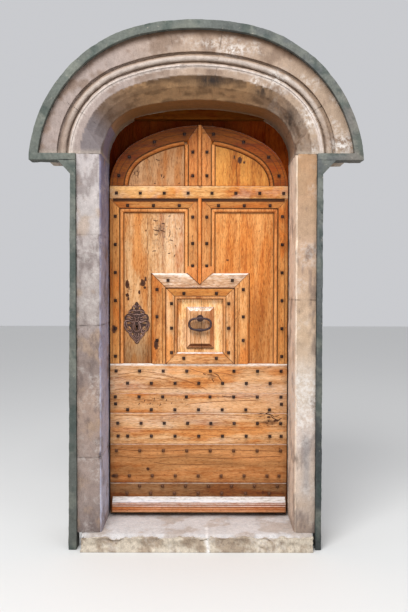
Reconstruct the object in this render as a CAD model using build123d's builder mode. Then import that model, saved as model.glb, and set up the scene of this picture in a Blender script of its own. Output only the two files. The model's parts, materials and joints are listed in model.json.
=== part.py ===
"""Arched, studded plank door hung in its moulded stone surround.

The door leaf has two layers: vertical back planks, and a front layer of
horizontal planks below and framed panels above, nailed to them.  The leaf
hangs on three strap hinges and opens inwards.

Millimetres, +X to the right seen from the street, +Y into the wall, +Z up.
The origin is under the sill, on the front plane of the stones, at the middle
of the opening.
"""

from build123d import *
import math
import os

# Opening and stone depths
opening_half_width = 500
opening_spring_z = 2060
opening_corner_radius = 240
opening_crown_radius = 1312
reveal_depth = 280
rebate_width = 38
head_rail_bottom_z = 2279
head_rail_height = 111
arris_radius = 20

# Sill
sill_height = 82
sill_left_bearing = 102
sill_right_bearing = 90
sill_projection = 60
sill_edge_radius = 14

# Jambs
left_face_width = 125
right_face_width = 105
left_joint_heights = [474, 1157, 1622]
right_joint_heights = [1290]
arch_seat_z = 2035

# Moulded arch, whose middle lies a little left of the opening's
arch_middle_x = -12
band_spring_z = 1956
band_side_inset = 387
band_side_centre_x = opening_half_width - band_side_inset
band_side_radius = 740
band_crown_radius = 1350
band_width = 44
band_projection = 25
band_depth = 85
return_height = 35
gusset_width = 65
gusset_height = 70
left_band_top_width = 28
left_band_foot_width = 42
right_band_width = 30

edge_spring_z = 2030
edge_side_inset = 270
edge_side_centre_x = opening_half_width - edge_side_inset
edge_side_radius = 410
edge_crown_radius = 1068
edge_width = 12
edge_projection = 7
quirk_width = 10
quirk_depth = 12
roll_radius = 17
roll_set_back = 3
groove_width = 16
groove_depth = 16
inner_fascia_width = 44

hollow_depth = 72
hollow_mid_depth = 26
hollow_mid_share = 0.56
hollow_lip = 10
hollow_lip_depth = 12
hollow_run_out = 25
keystone_half_angle = 9
springer_joint_angle = 54
joint_centre_z = 1817
stop_outer_rise = 180
stop_inner_rise = 114
stop_foot_rise = 45

# Door leaf
side_gap = 8
floor_gap = 8
rebate_gap = 0.5
front_layer = 46
back_layer = 34
leaf_overlap = 30
leaf_head_lap = 51
cross_rail_bottom_z = 1843
cross_rail_height = 71
cross_rail_relief = 2
bevel = 9
panel_recess = 16
strip_width = 60
ridge_x = 5
ridge_width = 18
ridge_relief = 18
ridge_point_height = 63

# Arched rim of the leaf
rim_spring_z = 1908
rim_side_radius = 277
rim_crown_radius = 698
rim_width = 84

# Lower planks, from their shared top edge down
lower_top_z = 929
lower_plank_tops = [lower_top_z, 765, 653.5, 480, 261.5]
plank_edge_chamfer = 3

# Square ornament
square_middle_x = 8
square_half_width = 270
square_top_z = 1432
square_strip_width = 80
square_relief = 4
bead_width = 18
bead_relief = 6
inner_strip_width = 64
inner_relief = 12
boss_half_width = 76
boss_bottom_z = 1019
boss_top_z = 1245
boss_bevel = 22
boss_plinth = 8
boss_rise = 26
boss_bed_recess = 4

# Weatherboard
weatherboard_left_inset = 14
weatherboard_right_inset = 8
weatherboard_bottom_z = 107
weatherboard_top_z = 184.5
weatherboard_projection = 34
weatherboard_nose_z = 156
weatherboard_bead_radius = 4
drip_groove_radius = 5

# Nails
nail_head_width = 17
nail_head_height = 8
nail_shank_width = 6
nail_length = 64

# Knocker ring and its eye
ring_z = 1183
ring_half_width = 66
ring_drop = 76
ring_bar_radius = 6
ring_straight_half = 11
ring_end_radius = 20
ring_stand_off = 20
ring_knop_radius = 11
ring_knop_half_length = 16
eye_width = 15
eye_wall = 6
eye_clearance = 0.08
rose_radius = 19
rose_thickness = 4

# Lock
keyhole_z = 1136
keyhole_radius = 7
keyhole_slot_width = 8
keyhole_slot_drop = 24
escutcheon_left_gap = 17
escutcheon_right_gap = 13
keyhole_to_joint = 25
escutcheon_height = 234
escutcheon_rise = 19
escutcheon_thickness = 3
lock_edge_inset = 2
lock_length = 228
lock_height = 140
lock_depth = 38
bolt_length = 120
bolt_height = 32
bolt_thickness = 16
bolt_travel = 30
bolt_clearance = 0.3
keeper_gap = 17
keeper_length = 55
keeper_height = 92
keeper_depth = 46
keeper_end_room = 9
keeper_pocket_margin = 6

# Hinges
hinge_heights = [330, 1050, 1790]
hinge_offset = 10
strap_width = 46
strap_thickness = 6
strap_length = 360
strap_tip_width = 20
eye_outer_radius = 16
pin_radius = 8
pin_clearance = 0.08
pintle_arm_height = 20
pintle_arm_thickness = 16
pintle_reach = 50
pintle_tail_depth = 58
pintle_seat_gap = 0.3
stone_set_back = 2.5

# Planes that several pieces share, measured into the wall
leaf_front_y = reveal_depth + rebate_gap
back_layer_y = leaf_front_y + front_layer
leaf_back_y = back_layer_y + back_layer
panel_y = leaf_front_y + panel_recess
rebate_y = reveal_depth + front_layer
stone_back_y = leaf_back_y - stone_set_back
hinge_y = leaf_back_y + eye_outer_radius

rebate_half_width = opening_half_width + rebate_width
rebate_top_z = head_rail_bottom_z + head_rail_height
leaf_half_width = opening_half_width - side_gap
back_half_width = opening_half_width + leaf_overlap
leaf_bottom_z = sill_height + floor_gap
leaf_top_z = head_rail_bottom_z + leaf_head_lap
cross_rail_top_z = cross_rail_bottom_z + cross_rail_height
rim_side_centre_x = leaf_half_width - rim_side_radius
weatherboard_left_x = -leaf_half_width + weatherboard_left_inset
weatherboard_right_x = leaf_half_width - weatherboard_right_inset
panel_left_x = -leaf_half_width + strip_width
panel_right_x = square_middle_x - square_half_width
escutcheon_width = panel_right_x - panel_left_x - escutcheon_left_gap - escutcheon_right_gap
keyhole_x = panel_left_x + escutcheon_left_gap + escutcheon_width / 2
back_joint_x = keyhole_to_joint - keyhole_x
lock_left_x = -back_half_width + lock_edge_inset
hinge_x = back_half_width + hinge_offset
sill_left_x = -opening_half_width - sill_left_bearing
sill_right_x = opening_half_width + sill_right_bearing
jamb_left_x = -opening_half_width - left_face_width
jamb_right_x = opening_half_width + right_face_width


def facade(y):
    """Plane seen from the street at depth y: local x is +X, local y is +Z."""
    return Plane.XZ.offset(-y)


def save(piece, label):
    piece.part.label = label
    export_step(piece.part, f"parts/{label}.step")


def arch_points(middle_x, side_x, spring_z, side_radius, crown_radius, foot_z):
    """Key points of a three-centred arch that stands on the level foot_z."""
    swing = math.asin(side_x / (crown_radius - side_radius))
    crown_centre_z = spring_z - (crown_radius - side_radius) * math.cos(swing)
    start = math.asin(max(foot_z - spring_z, 0) / side_radius)
    middle = (start + math.pi / 2 - swing) / 2
    foot_x = side_x + side_radius * math.cos(start)
    join_x = crown_radius * math.sin(swing)
    join_z = crown_centre_z + crown_radius * math.cos(swing)
    side_middle_x = side_x + side_radius * math.cos(middle)
    side_middle_z = spring_z + side_radius * math.sin(middle)
    start_z = spring_z + side_radius * math.sin(start)
    return {
        "foot_left": (middle_x - foot_x, foot_z),
        "spring_left": (middle_x - foot_x, start_z),
        "side_left": (middle_x - side_middle_x, side_middle_z),
        "join_left": (middle_x - join_x, join_z),
        "crown": (middle_x, crown_centre_z + crown_radius),
        "join_right": (middle_x + join_x, join_z),
        "side_right": (middle_x + side_middle_x, side_middle_z),
        "spring_right": (middle_x + foot_x, start_z),
        "foot_right": (middle_x + foot_x, foot_z),
    }


def arch_curve(points):
    """Arcs of an arch with its straight legs, in the open line."""
    has_legs = points["spring_left"][1] > points["foot_left"][1]
    if has_legs:
        Line(points["foot_left"], points["spring_left"])
    ThreePointArc(points["spring_left"], points["side_left"], points["join_left"])
    ThreePointArc(points["join_left"], points["crown"], points["join_right"])
    ThreePointArc(points["join_right"], points["side_right"], points["spring_right"])
    if has_legs:
        Line(points["spring_right"], points["foot_right"])


def arch_face(points, mode=Mode.ADD):
    """Arch outline closed along its foot, as a face of the open sketch."""
    with BuildLine() as outline:
        arch_curve(points)
        Line(points["foot_right"], points["foot_left"])
    make_face(outline.edges(), mode=mode)


def opening_arch(grow, foot_z):
    side_x = opening_half_width - opening_corner_radius
    return arch_points(
        0,
        side_x,
        opening_spring_z,
        opening_corner_radius + grow,
        opening_crown_radius + grow,
        foot_z,
    )


def edge_arch(grow, foot_z):
    """The sharp moulded edge, or a line at a distance outside it."""
    return arch_points(
        arch_middle_x,
        edge_side_centre_x,
        edge_spring_z,
        edge_side_radius + grow,
        edge_crown_radius + grow,
        foot_z,
    )


def band_arch(grow, foot_z):
    return arch_points(
        arch_middle_x,
        band_side_centre_x,
        band_spring_z,
        band_side_radius + grow,
        band_crown_radius + grow,
        foot_z,
    )


def rim_arch(grow, foot_z):
    return arch_points(
        0,
        rim_side_centre_x,
        rim_spring_z,
        rim_side_radius + grow,
        rim_crown_radius + grow,
        foot_z,
    )


def blended_arch(first, second, share, foot_z):
    """Arch that lies between two others, share of the way to the second."""
    between = {}
    for key, point in first.items():
        other = second[key]
        x = point[0] + (other[0] - point[0]) * share
        z = point[1] + (other[1] - point[1]) * share
        between[key] = (x, z)
    between["foot_left"] = (between["foot_left"][0], foot_z)
    between["foot_right"] = (between["foot_right"][0], foot_z)
    return between


# Sill stone
def make_sill():
    with BuildPart() as sill:
        with BuildSketch(Plane.XY):
            with Locations(((sill_left_x + sill_right_x) / 2, (stone_back_y - sill_projection) / 2)):
                Rectangle(sill_right_x - sill_left_x, stone_back_y + sill_projection)
        extrude(amount=sill_height)
        front_top = sill.edges().filter_by(Axis.X).group_by(Axis.Y)[0].sort_by(Axis.Z)[-1]
        fillet(front_top, radius=sill_edge_radius)
    save(sill, "sill_stone")


# Jamb stones
def pintle_seat(z):
    """Centre of the tail of a pintle whose hinge eye stands at height z."""
    seat_x = hinge_x + pintle_reach - pintle_arm_height / 2
    seat_z = z - strap_width / 2 - pintle_seat_gap - pintle_arm_height / 2
    return seat_x, seat_z


def make_jamb_stone(label, side, outer_x, bottom_z, top_z):
    inner_x = side * opening_half_width
    cheek_x = side * rebate_half_width
    with BuildPart() as stone:
        with BuildSketch(Plane.XY.offset(bottom_z)) as section:
            with BuildLine():
                Polyline(
                    (outer_x, 0),
                    (inner_x, 0),
                    (inner_x, rebate_y),
                    (cheek_x, rebate_y),
                    (cheek_x, stone_back_y),
                    (outer_x, stone_back_y),
                    close=True,
                )
            make_face()
            arris = section.vertices().group_by(Axis.Y)[0].sort_by(Axis.X)
            fillet(arris[-1] if side < 0 else arris[0], radius=arris_radius)
        extrude(amount=top_z - bottom_z)
        if side > 0:
            for height in hinge_heights:
                seat_x, seat_z = pintle_seat(height)
                if bottom_z < seat_z < top_z:
                    with BuildSketch(facade(stone_back_y)):
                        with Locations((seat_x, seat_z)):
                            Rectangle(pintle_arm_height, pintle_arm_height)
                    extrude(amount=pintle_tail_depth, mode=Mode.SUBTRACT)
    save(stone, label)


def make_jambs():
    left_levels = [sill_height] + left_joint_heights + [arch_seat_z]
    for number, (low, high) in enumerate(zip(left_levels, left_levels[1:]), 1):
        make_jamb_stone(f"left_jamb_stone_{number}", -1, jamb_left_x, low, high)
    right_levels = [sill_height] + right_joint_heights + [arch_seat_z]
    for number, (low, high) in enumerate(zip(right_levels, right_levels[1:]), 1):
        make_jamb_stone(f"right_jamb_stone_{number}", 1, jamb_right_x, low, high)


# Moulded arch, carved as one ring and then cut into its stones
def hollow_tool():
    """The stopped hollow between the inner fascia and the opening."""
    foot_z = arch_seat_z - hollow_run_out
    outer = edge_arch(-inner_fascia_width, foot_z)
    inner = opening_arch(hollow_lip, foot_z)
    past = opening_arch(-hollow_lip / 2, foot_z)
    with BuildPart() as tool:
        with BuildSketch(facade(0)):
            arch_face(outer)
        with BuildSketch(facade(hollow_mid_depth)):
            arch_face(blended_arch(outer, inner, hollow_mid_share, foot_z))
        with BuildSketch(facade(hollow_depth)):
            arch_face(inner)
        with BuildSketch(facade(hollow_depth + hollow_lip_depth)):
            arch_face(past)
        loft(ruled=True)
        for side in (-1, 1):
            outer_x = arch_middle_x + side * (edge_side_centre_x + edge_side_radius - inner_fascia_width)
            inner_x = side * (opening_half_width + hollow_lip)
            high = Vector(outer_x, 0, edge_spring_z + stop_outer_rise)
            deep = Vector(inner_x, hollow_depth, edge_spring_z + stop_inner_rise)
            foot = Vector(inner_x, 0, edge_spring_z + stop_foot_rise)
            normal = (deep - foot).cross(high - foot)
            if normal.Z < 0:
                normal = normal * -1
            split(bisect_by=Plane(origin=foot, z_dir=normal), keep=Keep.TOP)
    return tool.part


def make_arch():
    foot_z = arch_seat_z
    roll_middle = edge_width + quirk_width + roll_radius
    roll_outer = roll_middle + roll_radius
    hollow = hollow_tool()
    with BuildPart() as ring:
        with BuildSketch(facade(stone_back_y)):
            arch_face(band_arch(-band_width, foot_z))
            arch_face(opening_arch(0, foot_z), Mode.SUBTRACT)
        extrude(amount=stone_back_y)
        with BuildSketch(facade(0)):
            arch_face(edge_arch(roll_outer + groove_width, foot_z))
            arch_face(edge_arch(roll_middle, foot_z), Mode.SUBTRACT)
        extrude(amount=-groove_depth, mode=Mode.SUBTRACT)
        with BuildSketch(facade(0)):
            arch_face(edge_arch(roll_middle, foot_z))
            arch_face(edge_arch(edge_width, foot_z), Mode.SUBTRACT)
        extrude(amount=-quirk_depth, mode=Mode.SUBTRACT)
        with BuildSketch(facade(0)):
            arch_face(edge_arch(edge_width, foot_z))
            arch_face(edge_arch(0, foot_z), Mode.SUBTRACT)
        extrude(amount=edge_projection)
        roll = edge_arch(roll_middle, edge_spring_z - roll_radius)
        with BuildLine(facade(roll_set_back)) as path:
            arch_curve(roll)
        with BuildSketch(Plane(origin=path.wires()[0] @ 0, z_dir=path.wires()[0] % 0)):
            Circle(roll_radius)
        sweep(path=path.wires()[0])
        split(bisect_by=Plane.XY.offset(foot_z), keep=Keep.TOP)
        add(hollow, mode=Mode.SUBTRACT)
        with BuildSketch(Plane.XY.offset(foot_z)):
            with Locations((0, (rebate_y + stone_back_y) / 2)):
                Rectangle(2 * rebate_half_width, stone_back_y - rebate_y)
        extrude(amount=rebate_top_z - foot_z, mode=Mode.SUBTRACT)
        with BuildSketch(Plane.XY.offset(head_rail_bottom_z)):
            with Locations((0, (reveal_depth + stone_back_y) / 2)):
                Rectangle(2 * rebate_half_width, stone_back_y - reveal_depth)
        extrude(amount=head_rail_height, mode=Mode.SUBTRACT)
    return ring.part


def joint_plane(angle):
    """Upright plane of a radial joint, facing clockwise seen from the street."""
    radians = math.radians(angle)
    return Plane(
        origin=(arch_middle_x, 0, joint_centre_z),
        z_dir=(math.cos(radians), 0, -math.sin(radians)),
    )


def make_arch_stones(ring):
    joints = [-springer_joint_angle, -keystone_half_angle, keystone_half_angle, springer_joint_angle]
    labels = [
        "arch_springer_left",
        "arch_haunch_left",
        "arch_keystone",
        "arch_haunch_right",
        "arch_springer_right",
    ]
    for index, label in enumerate(labels):
        with BuildPart() as stone:
            add(ring)
            if index > 0:
                split(bisect_by=joint_plane(joints[index - 1]), keep=Keep.TOP)
            if index < len(joints):
                split(bisect_by=joint_plane(joints[index]), keep=Keep.BOTTOM)
        save(stone, label)


# Painted border round the stones
def make_border():
    bottom_z = arch_seat_z - return_height
    outer = band_arch(0, bottom_z)
    back_y = band_depth - band_projection
    with BuildPart() as band:
        with BuildSketch(facade(back_y)):
            arch_face(outer)
            arch_face(band_arch(-band_width, arch_seat_z), Mode.SUBTRACT)
            with BuildSketch(mode=Mode.PRIVATE) as doorway:
                with BuildLine():
                    Polyline(
                        (jamb_left_x, bottom_z),
                        (jamb_right_x, bottom_z),
                        (jamb_right_x, arch_seat_z),
                        (jamb_left_x, arch_seat_z),
                        close=True,
                    )
                make_face()
            add(doorway.sketch, mode=Mode.SUBTRACT)
        extrude(amount=band_depth)
    save(band, "border_band_arch")

    for side, edge_x, top_width, foot_width, label in (
        (-1, jamb_left_x, left_band_top_width, left_band_foot_width, "border_band_left"),
        (1, jamb_right_x, right_band_width, right_band_width, "border_band_right"),
    ):
        with BuildPart() as upright:
            with BuildSketch(facade(back_y)):
                with BuildLine():
                    Polyline(
                        (edge_x, 0),
                        (edge_x, bottom_z),
                        (edge_x + side * (top_width + gusset_width), bottom_z),
                        (edge_x + side * top_width, bottom_z - gusset_height),
                        (edge_x + side * foot_width, 0),
                        close=True,
                    )
                make_face()
            extrude(amount=band_depth)
        save(upright, label)


# Fixed head rail behind the arch
def make_head_rail():
    with BuildPart() as rail:
        with BuildSketch(facade(rebate_y)):
            with Locations((0, head_rail_bottom_z + head_rail_height / 2)):
                Rectangle(2 * rebate_half_width, head_rail_height)
        extrude(amount=front_layer)
        front_bottom = rail.edges().filter_by(Axis.X).group_by(Axis.Y)[0].sort_by(Axis.Z)[0]
        chamfer(front_bottom, length=plank_edge_chamfer)
    save(rail, "head_rail")


def front_edge(piece, key):
    """Front edge of a flat piece: t, b, l or r for top, bottom, left, right."""
    along, across = (Axis.X, Axis.Z) if key in "tb" else (Axis.Z, Axis.X)
    edges = piece.edges().filter_by(along).group_by(Axis.Y)[0].sort_by(across)
    return edges[0] if key in "bl" else edges[-1]


# Plain boards of the leaf
def make_board(label, left_x, right_x, bottom_z, top_z, front_y, back_y, chamfered="", cut_keyhole=False):
    """Flat board; chamfered names the front edges that are eased: t, b, l, r."""
    with BuildPart() as board:
        with BuildSketch(facade(back_y)):
            with Locations(((left_x + right_x) / 2, (bottom_z + top_z) / 2)):
                Rectangle(right_x - left_x, top_z - bottom_z)
        extrude(amount=back_y - front_y)
        if chamfered:
            chamfer([front_edge(board, key) for key in chamfered], length=plank_edge_chamfer)
        if cut_keyhole:
            cut_through_keyhole(back_y, back_y - front_y)
    save(board, label)


def keyhole_outline():
    with Locations((keyhole_x, keyhole_z)):
        Circle(keyhole_radius)
    with Locations((keyhole_x, keyhole_z - keyhole_slot_drop / 2)):
        Rectangle(keyhole_slot_width, keyhole_slot_drop)


def cut_through_keyhole(back_y, thickness):
    with BuildSketch(facade(back_y)) as hole:
        keyhole_outline()
    extrude(hole.sketch, amount=thickness, mode=Mode.SUBTRACT)


def make_back_planks():
    edges = [-back_half_width, -back_joint_x, 0, back_joint_x, back_half_width]
    for number, (left, right) in enumerate(zip(edges, edges[1:]), 1):
        eased = ""
        if number > 1:
            eased += "l"
        if number < len(edges) - 1:
            eased += "r"
        make_board(
            f"back_plank_{number}",
            left,
            right,
            leaf_bottom_z,
            leaf_top_z,
            back_layer_y,
            leaf_back_y,
            eased,
            left < keyhole_x - keyhole_radius and keyhole_x + keyhole_radius < right,
        )


def make_lower_planks():
    levels = lower_plank_tops + [leaf_bottom_z]
    for number, (top, bottom) in enumerate(zip(levels, levels[1:]), 1):
        make_board(
            f"lower_plank_{number}",
            -leaf_half_width,
            leaf_half_width,
            bottom,
            top,
            leaf_front_y,
            back_layer_y,
            "t" if number == 1 else "tb",
        )


def make_cross_rail():
    make_board(
        "cross_rail",
        -leaf_half_width,
        leaf_half_width,
        cross_rail_bottom_z,
        cross_rail_top_z,
        leaf_front_y - cross_rail_relief,
        back_layer_y,
        "tb",
    )


# Framed strips with mitred ends and a bevel towards their panel
def make_strip(label, corners, front_y, back_y, bevelled, length):
    """Mitred strip; bevelled picks the front edge towards its panel."""
    with BuildPart() as strip:
        with BuildSketch(facade(back_y)):
            with BuildLine():
                Polyline(*corners, close=True)
            make_face()
        extrude(amount=back_y - front_y)
        chamfer([front_edge(strip, key) for key in bevelled], length=length)
    save(strip, label)


ridge_left_x = ridge_x - ridge_width / 2
ridge_right_x = ridge_x + ridge_width / 2


def ridge_side(side):
    return ridge_right_x if side > 0 else ridge_left_x


def make_middle_frames():
    for side, name in ((-1, "left"), (1, "right")):
        outer = side * leaf_half_width
        outer_in = outer - side * strip_width
        centre = ridge_side(side)
        centre_in = centre + side * strip_width
        top = cross_rail_bottom_z
        top_in = top - strip_width
        towards = "r" if side < 0 else "l"
        away = "l" if side < 0 else "r"
        make_strip(
            f"middle_top_strip_{name}",
            [(outer, top), (centre, top), (centre_in, top_in), (outer_in, top_in)],
            leaf_front_y,
            back_layer_y,
            "b",
            bevel,
        )
        make_strip(
            f"side_strip_{name}",
            [(outer, top), (outer_in, top_in), (outer_in, lower_top_z), (outer, lower_top_z)],
            leaf_front_y,
            back_layer_y,
            towards,
            bevel,
        )
        make_strip(
            f"centre_strip_{name}",
            [(centre, top), (centre_in, top_in), (centre_in, square_top_z), (centre, square_top_z)],
            leaf_front_y,
            back_layer_y,
            away,
            bevel,
        )
        with BuildPart() as panel:
            with BuildSketch(facade(back_layer_y)):
                with BuildLine():
                    Polyline(
                        (outer_in, lower_top_z),
                        (outer_in, top_in),
                        (centre_in, top_in),
                        (centre_in, square_top_z),
                        (ridge_x, square_top_z),
                        (ridge_x, lower_top_z),
                        close=True,
                    )
                make_face()
            extrude(amount=back_layer_y - panel_y)
            if side < 0:
                cut_through_keyhole(back_layer_y, back_layer_y - panel_y)
        save(panel, f"middle_panel_{name}")


# Upper arched frames
def inner_rim_height(x):
    """Height of the rim's inner curve at x, near the crown."""
    points = rim_arch(-rim_width, rim_spring_z)
    radius = rim_crown_radius - rim_width
    centre_z = points["crown"][1] - radius
    return centre_z + math.sqrt(radius * radius - x * x)


def outer_rim_height(x):
    points = rim_arch(0, rim_spring_z)
    centre_z = points["crown"][1] - rim_crown_radius
    return centre_z + math.sqrt(rim_crown_radius * rim_crown_radius - x * x)


def strip_corners(side):
    centre = ridge_side(side)
    centre_in = centre + side * strip_width
    return [
        (centre, cross_rail_top_z),
        (centre, outer_rim_height(centre)),
        (centre_in, inner_rim_height(centre_in)),
        (centre_in, cross_rail_top_z),
    ]


def cut_below_and_beside(side):
    """Keep only the half of the open sketch above the cross rail."""
    centre = ridge_side(side)
    reach = 2 * leaf_half_width
    with BuildSketch(mode=Mode.PRIVATE) as rest:
        with Locations((0, cross_rail_top_z - reach / 2)):
            Rectangle(2 * reach, reach)
        with Locations((centre - side * reach / 2, cross_rail_top_z)):
            Rectangle(reach, 2 * reach)
        with BuildLine():
            Polyline(*strip_corners(side), close=True)
        make_face()
    add(rest.sketch, mode=Mode.SUBTRACT)


def make_upper_frames():
    foot_z = cross_rail_top_z - strip_width
    for side, name in ((-1, "left"), (1, "right")):
        with BuildPart() as rim:
            with BuildSketch(facade(back_layer_y)):
                arch_face(rim_arch(0, foot_z))
                arch_face(rim_arch(-rim_width, foot_z), Mode.SUBTRACT)
                cut_below_and_beside(side)
            extrude(amount=back_layer_y - leaf_front_y)
            curves = rim.edges().filter_by(GeomType.CIRCLE).group_by(Axis.Y)[0]
            inner_radii = (rim_side_radius - rim_width, rim_crown_radius - rim_width)
            inner = [
                curve for curve in curves if min(abs(curve.radius - radius) for radius in inner_radii) < 0.5
            ]
            chamfer(inner, length=bevel)
        save(rim, f"arch_rim_{name}")

        corners = strip_corners(side)
        make_strip(
            f"upper_centre_strip_{name}",
            corners,
            leaf_front_y,
            back_layer_y,
            "l" if side < 0 else "r",
            bevel,
        )
        with BuildPart() as panel:
            with BuildSketch(facade(back_layer_y)):
                arch_face(rim_arch(-rim_width, foot_z))
                cut_below_and_beside(side)
            extrude(amount=back_layer_y - panel_y)
        save(panel, f"upper_panel_{name}")


# Centre ridges
def ridge_section():
    """Ridge with a rounded nose, seen from above, in the open sketch."""
    nose_y = leaf_front_y - ridge_relief
    shoulder_y = leaf_front_y - ridge_relief / 3
    with BuildLine() as outline:
        Line((ridge_left_x, back_layer_y), (ridge_left_x, shoulder_y))
        ThreePointArc((ridge_left_x, shoulder_y), (ridge_x, nose_y), (ridge_right_x, shoulder_y))
        Line((ridge_right_x, shoulder_y), (ridge_right_x, back_layer_y))
        Line((ridge_right_x, back_layer_y), (ridge_left_x, back_layer_y))
    make_face(outline.edges())


def make_ridges():
    top_z = min(outer_rim_height(ridge_left_x), outer_rim_height(ridge_right_x))
    with BuildPart() as upper:
        with BuildSketch(Plane.XY.offset(cross_rail_top_z)):
            ridge_section()
        extrude(amount=top_z - cross_rail_top_z)
    save(upper, "ridge_upper")

    square_front_y = leaf_front_y - square_relief
    with BuildPart() as lower:
        with BuildSketch(Plane.XY.offset(square_top_z)):
            ridge_section()
        extrude(amount=cross_rail_bottom_z - square_top_z)
        with BuildSketch(facade(square_front_y)):
            with BuildLine():
                Polyline(
                    (ridge_left_x, square_top_z),
                    (ridge_right_x, square_top_z),
                    (ridge_right_x, square_top_z - ridge_point_height + ridge_width),
                    (ridge_x, square_top_z - ridge_point_height),
                    (ridge_left_x, square_top_z - ridge_point_height + ridge_width),
                    close=True,
                )
            make_face()
        extrude(amount=square_front_y - leaf_front_y + ridge_relief)
    save(lower, "ridge_lower")


# Square ornament of nested frames
square_left_x = panel_right_x
square_right_x = square_middle_x + square_half_width
inner_top_z = square_top_z - square_strip_width
inner_left_x = square_left_x + square_strip_width
inner_right_x = square_right_x - square_strip_width


def make_square():
    front_y = leaf_front_y - square_relief
    make_strip(
        "square_top_strip",
        [
            (square_left_x, square_top_z),
            (square_right_x, square_top_z),
            (inner_right_x, inner_top_z),
            (inner_left_x, inner_top_z),
        ],
        front_y,
        panel_y,
        "t",
        bevel,
    )
    for side, name in ((-1, "left"), (1, "right")):
        outer = square_middle_x + side * square_half_width
        inner = outer - side * square_strip_width
        bead_outer = inner + side * bead_width
        with BuildPart() as strip:
            with BuildSketch(facade(panel_y)):
                with BuildLine():
                    Polyline(
                        (outer, square_top_z),
                        (inner, inner_top_z),
                        (inner, lower_top_z),
                        (outer, lower_top_z),
                        close=True,
                    )
                make_face()
            extrude(amount=panel_y - front_y)
            outside = strip.edges().filter_by(Axis.Z).group_by(Axis.Y)[0].sort_by(Axis.X)
            chamfer(outside[0] if side < 0 else outside[-1], length=bevel)
            with BuildSketch(Plane.XY.offset(lower_top_z)):
                with BuildLine():
                    Line((inner, front_y), (bead_outer, front_y))
                    ThreePointArc(
                        (bead_outer, front_y),
                        ((inner + bead_outer) / 2, front_y - bead_relief),
                        (inner, front_y),
                    )
                make_face()
            extrude(amount=inner_top_z - lower_top_z)
        save(strip, f"square_side_strip_{name}")


def make_inner_frame():
    front_y = leaf_front_y - inner_relief
    open_left = inner_left_x + inner_strip_width
    open_right = inner_right_x - inner_strip_width
    open_top = inner_top_z - inner_strip_width
    open_bottom = lower_top_z + inner_strip_width
    outer = [
        (inner_left_x, inner_top_z),
        (inner_right_x, inner_top_z),
        (inner_right_x, lower_top_z),
        (inner_left_x, lower_top_z),
    ]
    inner = [
        (open_left, open_top),
        (open_right, open_top),
        (open_right, open_bottom),
        (open_left, open_bottom),
    ]
    names = ["top", "right", "bottom", "left"]
    edges = ["tb", "lr", "tb", "lr"]
    for index, name in enumerate(names):
        after = (index + 1) % len(outer)
        make_strip(
            f"inner_frame_{name}",
            [outer[index], outer[after], inner[after], inner[index]],
            front_y,
            panel_y,
            edges[index],
            bevel * 2 / 3,
        )

    bed_y = panel_y - boss_bed_recess
    with BuildPart() as boss:
        with BuildSketch(facade(panel_y)):
            with Locations((square_middle_x, (open_top + open_bottom) / 2)):
                Rectangle(open_right - open_left, open_top - open_bottom)
        extrude(amount=boss_bed_recess)
        boss_middle = (square_middle_x, (boss_bottom_z + boss_top_z) / 2)
        with BuildSketch(facade(bed_y)):
            with Locations(boss_middle):
                Rectangle(2 * boss_half_width, boss_top_z - boss_bottom_z)
        extrude(amount=boss_plinth)
        with BuildSketch(facade(bed_y - boss_plinth)):
            with Locations(boss_middle):
                Rectangle(2 * boss_half_width, boss_top_z - boss_bottom_z)
        with BuildSketch(facade(bed_y - boss_rise)):
            with Locations(boss_middle):
                Rectangle(2 * (boss_half_width - boss_bevel), boss_top_z - boss_bottom_z - 2 * boss_bevel)
        loft()
    save(boss, "boss_panel")


# Weatherboard along the foot of the leaf
def make_weatherboard():
    nose_y = leaf_front_y - weatherboard_projection
    bead_y = nose_y + weatherboard_bead_radius
    with BuildPart() as board:
        with BuildSketch(Plane.YZ.offset(weatherboard_left_x)):
            with BuildLine():
                Polyline(
                    (leaf_front_y, weatherboard_bottom_z),
                    (leaf_front_y, weatherboard_top_z),
                    (bead_y, weatherboard_nose_z),
                )
                ThreePointArc(
                    (bead_y, weatherboard_nose_z),
                    (nose_y, weatherboard_nose_z - weatherboard_bead_radius),
                    (bead_y, weatherboard_nose_z - 2 * weatherboard_bead_radius),
                )
                Polyline(
                    (bead_y, weatherboard_nose_z - 2 * weatherboard_bead_radius),
                    (bead_y, weatherboard_bottom_z),
                    (leaf_front_y, weatherboard_bottom_z),
                )
            make_face()
            with Locations((bead_y + 3 * drip_groove_radius, weatherboard_bottom_z)):
                Circle(drip_groove_radius, mode=Mode.SUBTRACT)
        extrude(amount=weatherboard_right_x - weatherboard_left_x)
    save(board, "weatherboard")


# Nails with pyramid heads
def nail_row(z, left_inset, right_inset, count, y=leaf_front_y):
    """Evenly spaced nails; the insets are from the two edges of the leaf."""
    first_x = -leaf_half_width + left_inset
    step = (2 * leaf_half_width - left_inset - right_inset) / (count - 1)
    return [(first_x + index * step, y, z) for index in range(count)]


def lower_nails():
    first, second, third, fourth, fifth = lower_plank_tops
    rows = nail_row(first - 41, 33, 33, 8)
    rows += nail_row(second + 55, 97, 94, 7)
    rows += nail_row(second - 21, 29, 33, 8)
    rows += nail_row(second - 61, 30, 30, 2)
    rows += nail_row(third + 18.5, 97, 97, 7)
    rows += nail_row(third - 57.5, 42, 34, 8)
    rows += nail_row(fourth + 44, 44, 31, 2)
    rows += nail_row(fourth + 44, 97, 94, 7)
    rows += nail_row(fourth - 38, 34, 34, 8)
    rows += nail_row(fifth + 39.5, 33, 42, 2)
    rows += nail_row(fifth + 39.5, 106, 109, 7)
    rows += nail_row(fifth - 17.5, 163, 51, 7)
    rows += nail_row(fifth - 58.5, 93, 97, 7)
    return rows


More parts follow.
